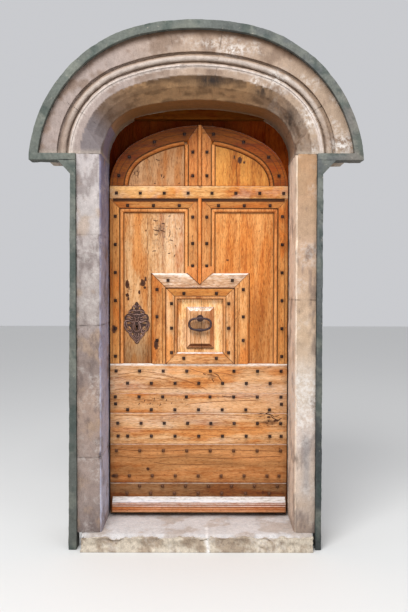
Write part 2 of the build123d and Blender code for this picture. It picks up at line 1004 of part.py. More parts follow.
def rim_nails(side):
    """Nails on the middle line of the rim, at angles above the level."""
    crown_radius = rim_crown_radius - rim_width / 2
    crown_centre_z = rim_arch(0, rim_spring_z)["crown"][1] - rim_crown_radius
    side_radius = rim_side_radius - rim_width / 2
    arcs = [
        (0, crown_centre_z, crown_radius, (83, 68)),
        (rim_side_centre_x, rim_spring_z, side_radius, (44, 15)),
    ]
    places = []
    for centre_x, centre_z, radius, angles in arcs:
        for angle in angles:
            turn = math.radians(angle)
            x = centre_x + radius * math.cos(turn)
            places.append((side * x, leaf_front_y, centre_z + radius * math.sin(turn)))
    return places


def upper_nails():
    rows = nail_row(cross_rail_bottom_z + 30, 37, 24, 8, leaf_front_y - cross_rail_relief)
    strip_middle = leaf_half_width - strip_width / 2
    first_z = cross_rail_bottom_z - 98
    last_z = lower_top_z + 41
    for side in (-1, 1):
        centre_middle = ridge_side(side) + side * strip_width / 2
        for share in (0.22, 0.51, 0.8):
            rows.append((side * share * leaf_half_width, leaf_front_y, cross_rail_bottom_z - 38))
        for index in range(6):
            rows.append((side * strip_middle, leaf_front_y, first_z + (last_z - first_z) * index / 5))
        for z in (
            cross_rail_bottom_z - 101,
            cross_rail_bottom_z - 247,
            square_top_z + 40,
            cross_rail_top_z + 55,
            cross_rail_top_z + 185,
        ):
            rows.append((centre_middle, leaf_front_y, z))
        rows += rim_nails(side)
    return rows


def ornament_nails():
    square_y = leaf_front_y - square_relief
    inner_y = leaf_front_y - inner_relief
    square_offset = square_half_width - (square_strip_width - bead_width) / 2
    inner_offset = square_half_width - square_strip_width - inner_strip_width / 2
    square_height = square_top_z - lower_top_z
    rows = []
    for side in (-1, 1):
        top_x = square_middle_x + side * 0.66 * square_half_width
        rows.append((top_x, square_y, square_top_z - square_strip_width / 2))
        for share in (0.82, 0.52, 0.26):
            z = lower_top_z + share * square_height
            rows.append((square_middle_x + side * square_offset, square_y, z))
        for share in (0.665, 0.395, 0.125):
            z = lower_top_z + share * square_height
            rows.append((square_middle_x + side * inner_offset, inner_y, z))
        for z in (inner_top_z - inner_strip_width / 2, lower_top_z + inner_strip_width / 2):
            rows.append((square_middle_x + side * square_half_width / 3, inner_y, z))
    return rows


def make_nails():
    with BuildPart() as head:
        with BuildSketch(facade(0)):
            Rectangle(nail_head_width, nail_head_width)
        with BuildSketch(facade(-nail_head_height)):
            Rectangle(nail_head_width / 4, nail_head_width / 4)
        loft()
        with BuildSketch(facade(0)):
            Rectangle(nail_shank_width, nail_shank_width)
        extrude(amount=-nail_length)
    places = lower_nails() + upper_nails() + ornament_nails()
    nails = Compound(children=[head.part.moved(Location(place)) for place in places])
    nails.label = "door_nails"
    export_step(nails, "parts/door_nails.step")


# Pierced escutcheon plate
def make_escutcheon():
    half_width = escutcheon_width / 2
    half_height = escutcheon_height / 2
    middle_z = keyhole_z + escutcheon_rise
    face = Plane(origin=(keyhole_x, panel_y, middle_z), x_dir=(1, 0, 0), z_dir=(0, -1, 0))
    with BuildPart() as plate:
        with BuildSketch(face):
            Ellipse(half_width * 0.47, half_height * 0.72)
            for end in (-1, 1):
                with Locations((0, end * half_height * 0.795)):
                    Ellipse(half_width * 0.186, half_height * 0.205)
                with Locations((0, end * half_height * 0.72)):
                    Ellipse(half_width * 0.057, half_height * 0.094, mode=Mode.SUBTRACT)
                for side in (-1, 1):
                    with Locations((side * half_width * 0.61, end * half_height * 0.23)):
                        Circle(half_width * 0.357)
                    with Locations((side * half_width * 0.357, end * half_height * 0.52)):
                        Circle(half_width * 0.257)
            for side in (-1, 1):
                with Locations((side * half_width * 0.87, 0)):
                    Ellipse(half_width * 0.13, half_height * 0.12)
                with Locations((side * half_width * 0.64, 0)):
                    Rectangle(half_width * 0.37, half_height * 0.05, mode=Mode.SUBTRACT)
                for end in (-1, 1):
                    with Locations((side * half_width * 0.63, end * half_height * 0.25)):
                        Circle(half_width * 0.157, mode=Mode.SUBTRACT)
                    with Locations((side * half_width * 0.37, end * half_height * 0.54)):
                        Circle(half_width * 0.1, mode=Mode.SUBTRACT)
            with Locations((0, -escutcheon_rise)):
                Circle(keyhole_radius, mode=Mode.SUBTRACT)
            with Locations((0, -escutcheon_rise - keyhole_slot_drop / 2)):
                Rectangle(keyhole_slot_width, keyhole_slot_drop, mode=Mode.SUBTRACT)
        extrude(amount=escutcheon_thickness)
    save(plate, "escutcheon")


# Knocker ring, its eye and its rose
boss_face_y = panel_y - boss_bed_recess - boss_rise
ring_y = boss_face_y - ring_stand_off


def make_ring():
    """Flat-topped oval ring: one half is swept, then mirrored."""
    half_drop = ring_drop / 2 - ring_bar_radius
    flank_x = ring_half_width - ring_bar_radius
    reach = flank_x - ring_straight_half
    squares = reach**2 + half_drop**2 - 2 * reach * ring_end_radius
    long_radius = squares / (2 * (half_drop - ring_end_radius))
    swing = math.atan2(reach - ring_end_radius, long_radius - half_drop)
    centre_z = ring_z - half_drop
    across = square_middle_x + ring_straight_half
    upper = half_drop - long_radius

    def on_long_arc(angle):
        return across + long_radius * math.sin(angle), upper + long_radius * math.cos(angle)

    with BuildPart() as ring:
        with BuildLine(facade(ring_y)) as path:
            middle_x, middle_z = on_long_arc(swing / 2)
            join_x, join_z = on_long_arc(swing)
            Line((square_middle_x, ring_z), (across, ring_z))
            ThreePointArc((across, ring_z), (middle_x, centre_z + middle_z), (join_x, centre_z + join_z))
            ThreePointArc(
                (join_x, centre_z + join_z),
                (square_middle_x + flank_x, centre_z),
                (join_x, centre_z - join_z),
            )
            ThreePointArc(
                (join_x, centre_z - join_z),
                (middle_x, centre_z - middle_z),
                (across, centre_z - half_drop),
            )
            Line((across, centre_z - half_drop), (square_middle_x, centre_z - half_drop))
        with BuildSketch(Plane(origin=(square_middle_x, ring_y, ring_z), z_dir=(1, 0, 0))):
            Circle(ring_bar_radius)
        sweep(path=path.wires()[0])
        mirror(about=Plane.YZ.offset(square_middle_x))
        foot_z = centre_z - half_drop
        with BuildSketch(facade(ring_y)):
            with BuildLine():
                Polyline(*ring_knop_profile(foot_z), close=True)
            make_face()
        revolve(axis=Axis((square_middle_x, ring_y, foot_z), (1, 0, 0)))
    save(ring, "knocker_ring")


def ring_knop_profile(foot_z):
    """Half outline of the turned swelling at the ring's foot."""
    half = ring_knop_half_length
    outline = [
        (-half, 0),
        (-half, ring_bar_radius + 1),
        (-half / 2, ring_bar_radius + 0.5),
        (0, ring_knop_radius),
        (half / 2, ring_bar_radius + 0.5),
        (half, ring_bar_radius + 1),
        (half, 0),
    ]
    return [(square_middle_x + x, foot_z + radius) for x, radius in outline]


def make_ring_eye():
    eye_radius = ring_bar_radius + eye_clearance + eye_wall
    with BuildPart() as eye:
        with BuildSketch(facade(boss_face_y)):
            with Locations((square_middle_x, ring_z)):
                Circle(rose_radius)
        extrude(amount=rose_thickness)
        with BuildSketch(Plane.YZ.offset(square_middle_x - eye_width / 2)):
            with Locations((ring_y, ring_z)):
                Circle(eye_radius)
            with Locations(((ring_y + boss_face_y) / 2, ring_z)):
                Rectangle(boss_face_y - ring_y, eye_radius)
            with Locations((ring_y, ring_z)):
                Circle(ring_bar_radius + eye_clearance, mode=Mode.SUBTRACT)
        extrude(amount=eye_width)
    save(eye, "ring_eye")


# Strap hinges on the back of the leaf
def make_straps():
    straps = []
    for z in hinge_heights:
        tip_x = hinge_x - strap_length
        with BuildPart() as strap:
            with BuildSketch(facade(leaf_back_y + strap_thickness)):
                with BuildLine():
                    Polyline(
                        (hinge_x, z - strap_width / 2),
                        (hinge_x, z + strap_width / 2),
                        (tip_x, z + strap_tip_width / 2),
                        (tip_x, z - strap_tip_width / 2),
                        close=True,
                    )
                make_face()
            extrude(amount=strap_thickness)
            with BuildSketch(Plane.XY.offset(z - strap_width / 2)):
                with Locations((hinge_x, hinge_y)):
                    Circle(eye_outer_radius)
            extrude(amount=strap_width)
            with BuildSketch(Plane.XY.offset(z - strap_width / 2)):
                with Locations((hinge_x, hinge_y)):
                    Circle(pin_radius + pin_clearance)
            extrude(amount=strap_width, mode=Mode.SUBTRACT)
        straps.append(strap.part)
    group = Compound(children=straps)
    group.label = "strap_hinges"
    export_step(group, "parts/strap_hinges.step")


def make_pintles():
    pintles = []
    for z in hinge_heights:
        seat_x, seat_z = pintle_seat(z)
        arm_left = hinge_x - pin_radius
        arm_right = seat_x + pintle_arm_height / 2
        arm_bottom = seat_z - pintle_arm_height / 2
        with BuildPart() as pintle:
            with BuildSketch(Plane.XY.offset(arm_bottom)):
                with Locations(((arm_left + arm_right) / 2, hinge_y)):
                    Rectangle(arm_right - arm_left, pintle_arm_thickness)
            extrude(amount=pintle_arm_height)
            with BuildSketch(facade(hinge_y)):
                with Locations((seat_x, seat_z)):
                    Rectangle(pintle_arm_height, pintle_arm_height)
            extrude(amount=hinge_y - stone_back_y + pintle_tail_depth)
            with BuildSketch(Plane.XY.offset(arm_bottom)):
                with Locations((hinge_x, hinge_y)):
                    Circle(pin_radius)
            extrude(amount=pintle_arm_height + pintle_seat_gap + strap_width)
        pintles.append(pintle.part)
    group = Compound(children=pintles)
    group.label = "pintles"
    export_step(group, "parts/pintles.step")


# Rim lock with its bolt and keeper
bolt_middle_y = leaf_back_y + lock_depth / 2


def make_lock():
    bolt_room = bolt_clearance * 2
    with BuildPart() as case:
        with BuildSketch(facade(leaf_back_y + lock_depth)):
            with Locations((lock_left_x + lock_length / 2, keyhole_z)):
                Rectangle(lock_length, lock_height)
        extrude(amount=lock_depth)
        chamfer(case.faces().sort_by(Axis.Y)[-1].edges(), length=plank_edge_chamfer)
        with BuildSketch(Plane.YZ.offset(lock_left_x)):
            with Locations((bolt_middle_y, keyhole_z)):
                Rectangle(bolt_thickness + bolt_room, bolt_height + bolt_room)
        extrude(amount=bolt_length + bolt_clearance, mode=Mode.SUBTRACT)
        cut_through_keyhole(leaf_back_y + lock_depth / 2, lock_depth / 2)
    save(case, "lock_case")

    with BuildPart() as bolt:
        with BuildSketch(Plane.YZ.offset(lock_left_x)):
            with Locations((bolt_middle_y, keyhole_z)):
                Rectangle(bolt_thickness, bolt_height)
        extrude(amount=bolt_length)
        chamfer(bolt.faces().sort_by(Axis.X)[0].edges(), length=2)
    save(bolt, "lock_bolt")

    keeper_right_x = lock_left_x - keeper_gap
    pocket_length = bolt_travel - keeper_gap + keeper_end_room
    pocket_width = bolt_thickness + 2 * keeper_pocket_margin
    pocket_height = bolt_height + 2 * keeper_pocket_margin
    with BuildPart() as keeper:
        with BuildSketch(facade(stone_back_y + keeper_depth)):
            with Locations((keeper_right_x - keeper_length / 2, keyhole_z)):
                Rectangle(keeper_length, keeper_height)
        extrude(amount=keeper_depth)
        with BuildSketch(Plane.YZ.offset(keeper_right_x)):
            with Locations((bolt_middle_y, keyhole_z)):
                Rectangle(pocket_width, pocket_height)
        extrude(amount=-pocket_length, mode=Mode.SUBTRACT)
    save(keeper, "lock_keeper")


os.makedirs("parts", exist_ok=True)
make_sill()
make_jambs()
make_arch_stones(make_arch())
make_border()
make_head_rail()
make_back_planks()
make_lower_planks()
make_cross_rail()
make_middle_frames()
make_upper_frames()
make_ridges()
make_square()
make_inner_frame()
make_weatherboard()
make_nails()
make_escutcheon()
make_ring()
make_ring_eye()
make_straps()
make_pintles()
make_lock()
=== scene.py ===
"""Looks of the arched studded door in its moulded stone surround."""

import json
import math

import bmesh
import bpy
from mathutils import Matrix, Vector, kdtree, noise

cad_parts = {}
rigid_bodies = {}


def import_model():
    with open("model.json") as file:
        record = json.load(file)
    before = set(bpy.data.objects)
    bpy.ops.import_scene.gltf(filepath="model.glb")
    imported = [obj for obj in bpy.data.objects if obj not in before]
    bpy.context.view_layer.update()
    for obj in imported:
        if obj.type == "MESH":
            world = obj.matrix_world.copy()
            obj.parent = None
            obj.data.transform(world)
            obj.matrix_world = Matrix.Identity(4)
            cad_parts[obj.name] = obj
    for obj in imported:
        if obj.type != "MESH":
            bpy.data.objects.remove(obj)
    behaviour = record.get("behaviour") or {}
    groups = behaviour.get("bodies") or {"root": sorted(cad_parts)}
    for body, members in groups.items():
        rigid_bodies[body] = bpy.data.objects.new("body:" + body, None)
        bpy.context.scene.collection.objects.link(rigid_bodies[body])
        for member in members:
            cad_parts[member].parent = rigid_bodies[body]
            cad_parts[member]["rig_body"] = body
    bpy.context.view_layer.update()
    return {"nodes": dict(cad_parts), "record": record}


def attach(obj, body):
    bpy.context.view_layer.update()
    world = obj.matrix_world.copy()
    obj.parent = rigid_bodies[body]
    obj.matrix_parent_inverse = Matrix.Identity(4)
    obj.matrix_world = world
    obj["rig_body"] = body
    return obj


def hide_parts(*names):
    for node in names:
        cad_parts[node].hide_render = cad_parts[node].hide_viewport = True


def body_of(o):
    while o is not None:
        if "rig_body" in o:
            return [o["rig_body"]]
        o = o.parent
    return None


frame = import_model()
nodes = frame["nodes"]
slots = {part["node"]: part["material_slot"] for part in frame["record"]["subparts"]}

# Camera, from the photograph's own perspective
CAMERA_PLACE = (0.0292, -3.5176, 1.3577)
FOCAL_PIXELS = 685.05
PHOTO_HEIGHT = 612
PITCH_DEGREES = 1.62
ROLL_DEGREES = 0.105

# Points closer together than this are one, in metres
WELD = 2e-5
# A face whose normal has more y than this looks into the building
WALL_SIDE = 0.8

# Heights and places taken over from the model, in metres
ARCH_MIDDLE_X = -0.012
ARCH_SEAT_Z = 2.035
ARCH_TURN_Z = 1.817
HOLLOW_EDGE = 0.046
STONE_FACE_Y = 0.02
SOFFIT_Y = 0.085
LEAF_FRONT_Y = 0.2805
LEAF_HALF_WIDTH = 0.492
LOWER_TOP_Z = 0.929
DARK_PLANKS_Z = 0.48
RAIL_BOTTOM_Z = 1.843
RAIL_TOP_Z = 1.914
LEFT_JOINTS = (0.474, 1.157, 1.622)
RIGHT_JOINTS = (0.52, 1.29, 1.53)


def rgb(red, green, blue):
    """Linear colour of an sRGB triple from 0 to 255."""
    channels = []
    for value in (red, green, blue):
        share = value / 255
        channels.append(share / 12.92 if share <= 0.04045 else ((share + 0.055) / 1.055) ** 2.4)
    return tuple(channels)


def solid(red, green, blue):
    """The same colour with an alpha of 1."""
    return (*rgb(red, green, blue), 1.0)


def lerp(first, second, share):
    return tuple(a + (b - a) * share for a, b in zip(first, second))


def ease(value, low, high):
    """0 below low, 1 above high and smooth between; low may be the larger."""
    share = min(max((value - low) / (high - low), 0), 1)
    return share * share * (3 - 2 * share)


def cloud(point, scale, octaves=4, seed=0.0):
    """Cloudy number from about -1 to 1; scale is one number or three."""
    if not isinstance(scale, tuple):
        scale = (scale, scale, scale)
    place = Vector((point[0] * scale[0] + seed, point[1] * scale[1] - seed, point[2] * scale[2] + 2 * seed))
    return noise.fractal(place, 0.6, 2.0, octaves)


class Shader:
    """Short way to build a material from nodes."""

    def __init__(self, name):
        self.material = bpy.data.materials.new(name)
        self.material.use_nodes = True
        self.tree = self.material.node_tree
        self.tree.nodes.clear()
        self.surface = self.node("BsdfPrincipled")
        self.node("OutputMaterial", {0: self.surface.outputs[0]})
        self.place = self.node("TexCoord").outputs["Object"]
        self.moved = self.vector("ADD", self.place, self.attribute("shift", "OBJECT", "Vector"))

    def put(self, socket, value):
        if isinstance(value, bpy.types.NodeSocket):
            self.tree.links.new(value, socket)
        else:
            socket.default_value = value

    def node(self, kind, inputs=(), **settings):
        """New node; the inputs are values or links, in order or by the name of their socket."""
        node = self.tree.nodes.new("ShaderNode" + kind)
        for name, value in settings.items():
            setattr(node, name, value)
        for socket, value in inputs.items() if isinstance(inputs, dict) else enumerate(inputs):
            self.put(node.inputs[socket], value)
        return node

    def attribute(self, name, kind="GEOMETRY", output="Fac"):
        """A number or colour painted on the points, or a property of the object."""
        return self.node("Attribute", attribute_type=kind, attribute_name=name).outputs[output]

    def math(self, operation, first, second=0.0, clamp=False):
        return self.node("Math", (first, second), operation=operation, use_clamp=clamp).outputs[0]

    def add(self, first, second, clamp=False):
        return self.math("ADD", first, second, clamp)

    def times(self, first, second):
        return self.math("MULTIPLY", first, second)

    def weighed(self, *terms):
        """Sum of (value, weight) terms."""
        total = self.times(*terms[0])
        for value, weight in terms[1:]:
            total = self.add(total, self.times(value, weight))
        return total

    def vector(self, operation, first, second):
        return self.node("VectorMath", (first, second), operation=operation).outputs[0]

    def split(self, vector):
        return self.node("SeparateXYZ", (vector,)).outputs

    def noise(self, scale, detail=4.0, roughness=0.55, stretch=(1, 1, 1), distortion=0.0):
        place = self.vector("MULTIPLY", self.moved, stretch)
        inputs = {"Vector": place, "Scale": scale, "Detail": detail}
        inputs |= {"Roughness": roughness, "Distortion": distortion}
        return self.node("TexNoise", inputs).outputs[0]

    def cells(self, scale, stretch=(1, 1, 1)):
        """Distance to the nearest point of a scattered set."""
        place = self.vector("MULTIPLY", self.moved, stretch)
        return self.node("TexVoronoi", {"Vector": place, "Scale": scale}).outputs["Distance"]

    def ramp(self, value, stops):
        """Colour that follows the value through (position, colour) stops."""
        node = self.node("ValToRGB", (value,))
        elements = node.color_ramp.elements
        while len(elements) < len(stops):
            elements.new(0.5)
        for element, (position, colour) in zip(elements, stops):
            element.position = position
            element.color = colour
        return node.outputs[0]

    def range(self, value, low, high, to_low=0.0, to_high=1.0):
        return self.node("MapRange", (value, low, high, to_low, to_high), clamp=True).outputs[0]

    def mix(self, share, first, second, blend="MIX"):
        inputs = {0: share, 6: first, 7: second}
        return self.node("Mix", inputs, data_type="RGBA", blend_type=blend, clamp_factor=True).outputs[2]

    def near(self, value, centre, inner, outer):
        """1 where the value is within inner of the centre, 0 beyond outer."""
        distance = self.math("ABSOLUTE", self.math("SUBTRACT", value, centre))
        return self.range(distance, inner, outer, 1.0, 0.0)

    def bump(self, height, strength, distance):
        inputs = {"Height": height, "Strength": strength, "Distance": distance}
        self.put(self.surface.inputs["Normal"], self.node("Bump", inputs).outputs[0])

    def finish(self, colour, roughness, metallic=0.0, specular=0.22):
        self.put(self.surface.inputs["Base Color"], colour)
        self.put(self.surface.inputs["Roughness"], roughness)
        self.put(self.surface.inputs["Metallic"], metallic)
        self.surface.inputs["Specular IOR Level"].default_value = 0.5 if metallic else specular
        return self.material


# Long splits in the wood: x at the top, x at the foot, top z, foot z, half width
SPLITS = (
    (0.0146, 0.0165, 1.290, 0.995, 0.0011),
    (0.2050, 0.2110, 2.110, 1.916, 0.0012),
    (0.2280, 0.2240, 1.785, 0.935, 0.0007),
    (-0.2860, -0.2830, 1.785, 0.935, 0.0008),
    (-0.0560, -0.0600, 2.030, 1.930, 0.0012),
    (0.0420, 0.0440, 2.150, 1.915, 0.0010),
    (-0.0300, -0.0310, 1.640, 1.500, 0.0014),
    (-0.4380, -0.4360, 1.500, 1.000, 0.0007),
)


def make_oak(name, stretch, specular=0.22, with_splits=False):
    """Honey oak; stretch draws the pattern out along the grain."""
    shade = Shader(name)
    paint = shade.attribute("paint", output="Color")
    short = tuple(0.2 if part < 1 else 1 for part in stretch)
    figure = shade.noise(9.0, 4, 0.6, stretch, 0.7)
    streak = shade.noise(75, 3, 0.6, stretch)
    fine = shade.noise(170, 3, 0.6, short)
    hair = shade.noise(250, 2, 0.5, short)
    rings = shade.math("FRACT", shade.times(shade.noise(3.2, 2, 0.45, stretch, 0.8), 14.0))
    ring = shade.near(rings, 0.5, 0.0, 0.22)
    level = shade.weighed((figure, 0.40), (streak, 0.28), (fine, 0.32))
    tint = shade.ramp(
        level,
        [
            (0.40, (0.62, 0.44, 0.30, 1)),
            (0.455, (0.88, 0.74, 0.58, 1)),
            (0.515, (1.03, 1.01, 0.98, 1)),
            (0.59, (1.22, 1.27, 1.34, 1)),
        ],
    )
    colour = shade.mix(1.0, paint, tint, "MULTIPLY")
    dark = shade.add(shade.times(ring, 0.16), shade.range(hair, 0.55, 0.68, 0.0, 0.40))
    half_short = tuple(0.4 if part < 1 else 1 for part in stretch)
    specks = shade.range(shade.cells(95, half_short), 0.10, 0.20, 1.0, 0.0)
    dark = shade.add(dark, shade.times(specks, shade.range(shade.noise(13, 3, 0.6), 0.54, 0.62, 0.0, 0.7)))
    if with_splits:
        split = 0.0
        x, _, z = shade.split(shade.place)
        wander = shade.range(shade.noise(18, 2, 0.5), 0.3, 0.7, -0.004, 0.004)
        for top_x, foot_x, top_z, foot_z, half_width in SPLITS:
            line = shade.add(shade.range(z, foot_z, top_z, foot_x, top_x), wander)
            above = shade.range(z, foot_z, foot_z + 0.01)
            along = shade.times(above, shade.range(z, top_z, top_z + 0.01, 1.0, 0.0))
            across = shade.near(shade.math("SUBTRACT", x, line), 0.0, half_width, half_width * 2.0)
            split = shade.math("MAXIMUM", split, shade.times(across, along))
        dark = shade.add(dark, shade.times(split, 0.6))
    scar = shade.attribute("scar")
    bites = shade.range(shade.cells(66, (0.6, 1, 1.1)), 0.16, 0.28, 1.0, 0.0)
    flakes = shade.range(shade.noise(40, 4, 0.7, half_short), 0.52, 0.58)
    bite = shade.times(scar, shade.add(shade.times(bites, 0.8), shade.times(flakes, 0.45), True))
    dark = shade.add(dark, shade.times(bite, 0.9), True)
    dark = shade.add(dark, shade.range(scar, 0.72, 1.1, 0.0, 0.6), True)
    colour = shade.mix(dark, colour, shade.mix(1.0, paint, (0.13, 0.075, 0.05, 1), "MULTIPLY"))
    # Pale: bleached wood together with painted light on faces that look up, on the top edge of the lowest
    # panel plank and on the weatherboard's slope
    pale = shade.attribute("pale")
    bleach_and_light = shade.times(pale, shade.range(fine, 0.36, 0.56, 0.35, 1.0))
    colour = shade.mix(bleach_and_light, colour, solid(236, 228, 220))
    shade.bump(shade.weighed((streak, 0.6), (dark, -0.6)), 0.5, 0.0030)
    return shade.finish(colour, shade.range(streak, 0.3, 0.7, 0.52, 0.70), 0.0, specular)


def make_stone(name):
    shade = Shader(name)
    paint = shade.attribute("paint", output="Color")
    broad = shade.noise(9, 5, 0.6)
    middle = shade.noise(42, 5, 0.62, (1, 1, 0.55))
    grain = shade.noise(210, 4, 0.65)
    light = shade.add(shade.range(broad, 0.3, 0.7, -0.07, 0.07), shade.range(grain, 0.3, 0.7, 0.82, 1.18))
    light = shade.add(light, shade.range(middle, 0.3, 0.7, -0.13, 0.13))
    colour = shade.mix(1.0, paint, light, "MULTIPLY")
    rough = shade.attribute("rough")
    pits = shade.range(shade.cells(120), 0.10, 0.30, 1.0, 0.0)
    pit = shade.times(pits, shade.range(middle, 0.50, 0.62))
    pit = shade.times(pit, shade.add(shade.times(rough, 0.7), 0.2, True))
    colour = shade.mix(shade.times(pit, 0.6), colour, solid(92, 76, 68))
    crust = shade.times(rough, shade.range(shade.noise(62, 5, 0.7, (1, 1, 0.6)), 0.50, 0.66))
    colour = shade.mix(shade.times(crust, 0.42), colour, solid(108, 90, 82))
    drawn = shade.range(shade.noise(60, 4, 0.6, (1, 0.3, 0.3)), 0.34, 0.56, 0.25, 1.0)
    soot = shade.times(shade.attribute("soot"), drawn)
    colour = shade.mix(soot, colour, solid(50, 42, 38))
    wash = shade.times(shade.attribute("pale"), shade.range(shade.noise(44, 6, 0.72), 0.44, 0.58))
    colour = shade.mix(wash, colour, solid(226, 220, 214))
    shade.bump(shade.weighed((middle, 0.7), (grain, 0.35), (pit, -0.5), (crust, -0.3)), 0.6, 0.005)
    return shade.finish(colour, 0.92)


def make_border_paint(name):
    shade = Shader(name)
    paint = shade.attribute("paint", output="Color")
    broad = shade.noise(11, 6, 0.65)
    grain = shade.noise(80, 4, 0.65)
    light = shade.add(shade.range(broad, 0.3, 0.7, -0.18, 0.18), shade.range(grain, 0.3, 0.7, 0.80, 1.2))
    colour = shade.mix(1.0, paint, light, "MULTIPLY")
    chip = shade.range(shade.noise(34, 5, 0.7), 0.64, 0.70)
    colour = shade.mix(shade.times(chip, 0.6), colour, solid(168, 160, 146))
    shade.bump(shade.add(broad, shade.times(grain, 0.4)), 0.6, 0.005)
    return shade.finish(colour, 0.9)


def make_iron(name, *colours, faded=None):
    """Iron from a dark, a middle and a light colour; at the leaf's foot it takes the faded one."""
    shade = Shader(name)
    broad = shade.noise(38, 5, 0.65)
    grain = shade.noise(260, 3, 0.6)
    figure = shade.weighed((broad, 0.6), (grain, 0.4))
    tones = [solid(*colour) for colour in colours]
    colour = shade.ramp(figure, list(zip((0.36, 0.52, 0.68), tones)))
    if faded:
        height = shade.split(shade.place)[2]
        near_foot = shade.range(height, DARK_PLANKS_Z - 0.01, DARK_PLANKS_Z + 0.01, 0.6, 0.0)
        colour = shade.mix(near_foot, colour, solid(*faded))
    shade.bump(figure, 0.5, 0.002)
    return shade.finish(colour, shade.range(grain, 0.3, 0.7, 0.40, 0.60), 0.3)


materials = {
    "oak_across": make_oak("oak_across", (0.08, 1, 1)),
    "oak_upright": make_oak("oak_upright", (1, 1, 0.08), with_splits=True),
    "dark_oak_across": make_oak("dark_oak_across", (0.08, 1, 1), 0.02),
    "dark_oak_upright": make_oak("dark_oak_upright", (1, 1, 0.08), 0.02),
    "limestone": make_stone("limestone"),
    "painted_render": make_border_paint("painted_render"),
    "wrought_iron": make_iron("wrought_iron", (40, 27, 32), (66, 46, 48), (112, 84, 78)),
    "nail_iron": make_iron("nail_iron", (26, 15, 13), (48, 30, 26), (92, 72, 70), faded=(120, 76, 44)),
    "rusty_iron": make_iron("rusty_iron", (44, 27, 22), (72, 46, 36), (110, 76, 58)),
    # The raised scrolls are lighter than the plate: rubbed metal together with painted highlight
    "relief_iron": make_iron("relief_iron", (84, 58, 50), (126, 94, 82), (178, 148, 138)),
}

ACROSS = (
    "lower_plank",
    "cross_rail",
    "weatherboard",
    "middle_top",
    "square_top",
    "inner_frame_top",
    "inner_frame_bottom",
    "head_rail",
    "arch_rim",
)
IRONS = {"escutcheon": "rusty_iron", "door_nails": "nail_iron"}

# Colours of the boards by the start of the node's name; the first that fits counts. The back planks and the
# head rail are darkened with painted shade, as they sit in the shade of the arch
WOOD_TONES = {
    "lower_plank_1": (217, 168, 121),
    "lower_plank_2": (208, 156, 108),
    "lower_plank_3": (213, 163, 114),
    "lower_plank_4": (169, 114, 65),
    "lower_plank_5": (140, 98, 61),
    "weatherboard": (200, 138, 96),
    "cross_rail": (217, 164, 103),
    "arch_rim": (118, 60, 8),
    "upper_panel_left": (176, 129, 87),
    "upper_panel_right": (195, 130, 59),
    "upper_centre": (198, 126, 66),
    "middle_panel_left": (213, 165, 115),
    "middle_panel_right": (216, 159, 97),
    "middle_top_strip": (184, 122, 62),
    "side_strip": (202, 136, 72),
    "centre_strip": (196, 132, 74),
    "ridge": (214, 142, 80),
    "square_top": (220, 190, 165),
    "square_side": (212, 150, 90),
    "inner_frame_top": (196, 130, 64),
    "inner_frame": (220, 166, 114),
    "boss_panel": (248, 201, 143),
    "back_plank": (100, 42, 8),
    "head_rail": (92, 48, 10),
}


# Wood in front of this is the boss and not the field around it
BOSS_SHOULDER_Y = 0.272
# Wood over this height is the weatherboard's sloping top
WEATHERBOARD_TOP_Z = 0.158


def tone_of(node):
    for prefix, tone in WOOD_TONES.items():
        if node.startswith(prefix):
            return rgb(*tone)
    raise KeyError(node)


def loose_centres(mesh):
    """Middle of each separate solid of a mesh."""
    bm = bmesh.new()
    bm.from_mesh(mesh)
    bmesh.ops.remove_doubles(bm, verts=bm.verts, dist=WELD)
    centres = []
    seen = set()
    for start in bm.verts:
        if start in seen:
            continue
        group = []
        stack = [start]
        seen.add(start)
        while stack:
            vertex = stack.pop()
            group.append(vertex.co.copy())
            for edge in vertex.link_edges:
                other = edge.other_vert(vertex)
                if other not in seen:
                    seen.add(other)
                    stack.append(other)
        centres.append(sum(group, Vector()) / len(group))
    bm.free()
    return centres


nail_places = loose_centres(nodes["door_nails"].data)
nail_tree = kdtree.KDTree(len(nail_places))
for index, place in enumerate(nail_places):
    nail_tree.insert((place.x, 0, place.z), index)
nail_tree.balance()


def nail_stain(point):
    """Dark halo of a nail, longer below it."""
    found, _, _ = nail_tree.find((point.x, 0, point.z))
    across = point.x - found.x
    below = found.z - point.z
    reach = 0.024 if below > 0 else 0.012
    distance = math.hypot(across / 0.012, below / reach)
    return math.exp(-distance * distance) * 0.60


# Patches of worm tracks, knots and torn grain: x, z, half width, half height, strength
SCARS = (
    (-0.205, 1.665, 0.055, 0.110, 0.95),
    (-0.330, 2.000, 0.060, 0.060, 0.85),
    (-0.205, 2.010, 0.030, 0.070, 0.55),
    (-0.390, 1.350, 0.016, 0.030, 1.0),
    (-0.300, 1.380, 0.030, 0.050, 0.7),
    (-0.395, 1.300, 0.012, 0.016, 1.0),
    (-0.470, 1.120, 0.014, 0.026, 1.2),
    (-0.235, 1.030, 0.014, 0.028, 1.2),
    (0.230, 2.055, 0.016, 0.022, 1.1),
    (0.190, 2.080, 0.010, 0.030, 0.9),
    (0.300, 2.050, 0.012, 0.016, 0.9),
    (-0.270, 0.720, 0.090, 0.035, 0.75),
    (-0.100, 0.740, 0.060, 0.030, 0.5),
    (0.080, 0.855, 0.070, 0.040, 0.8),
    (0.300, 0.745, 0.070, 0.014, 0.6),
    (0.395, 0.600, 0.065, 0.022, 1.3),
    (0.350, 0.640, 0.070, 0.014, 0.8),
    (-0.470, 0.300, 0.022, 0.016, 1.2),
    (-0.280, 0.338, 0.014, 0.012, 1.2),
    (0.360, 0.215, 0.014, 0.018, 1.0),
    (0.000, 0.360, 0.300, 0.012, 0.3),
)


def scar_at(point):
    most = 0
    for x, z, half_width, half_height, strength in SCARS:
        distance = math.hypot((point.x - x) / half_width, (point.z - z) / half_height)
        if distance < 2.2:
            most = max(most, strength * math.exp(-(distance**2) * 0.9))
    return min(most, 1.2)


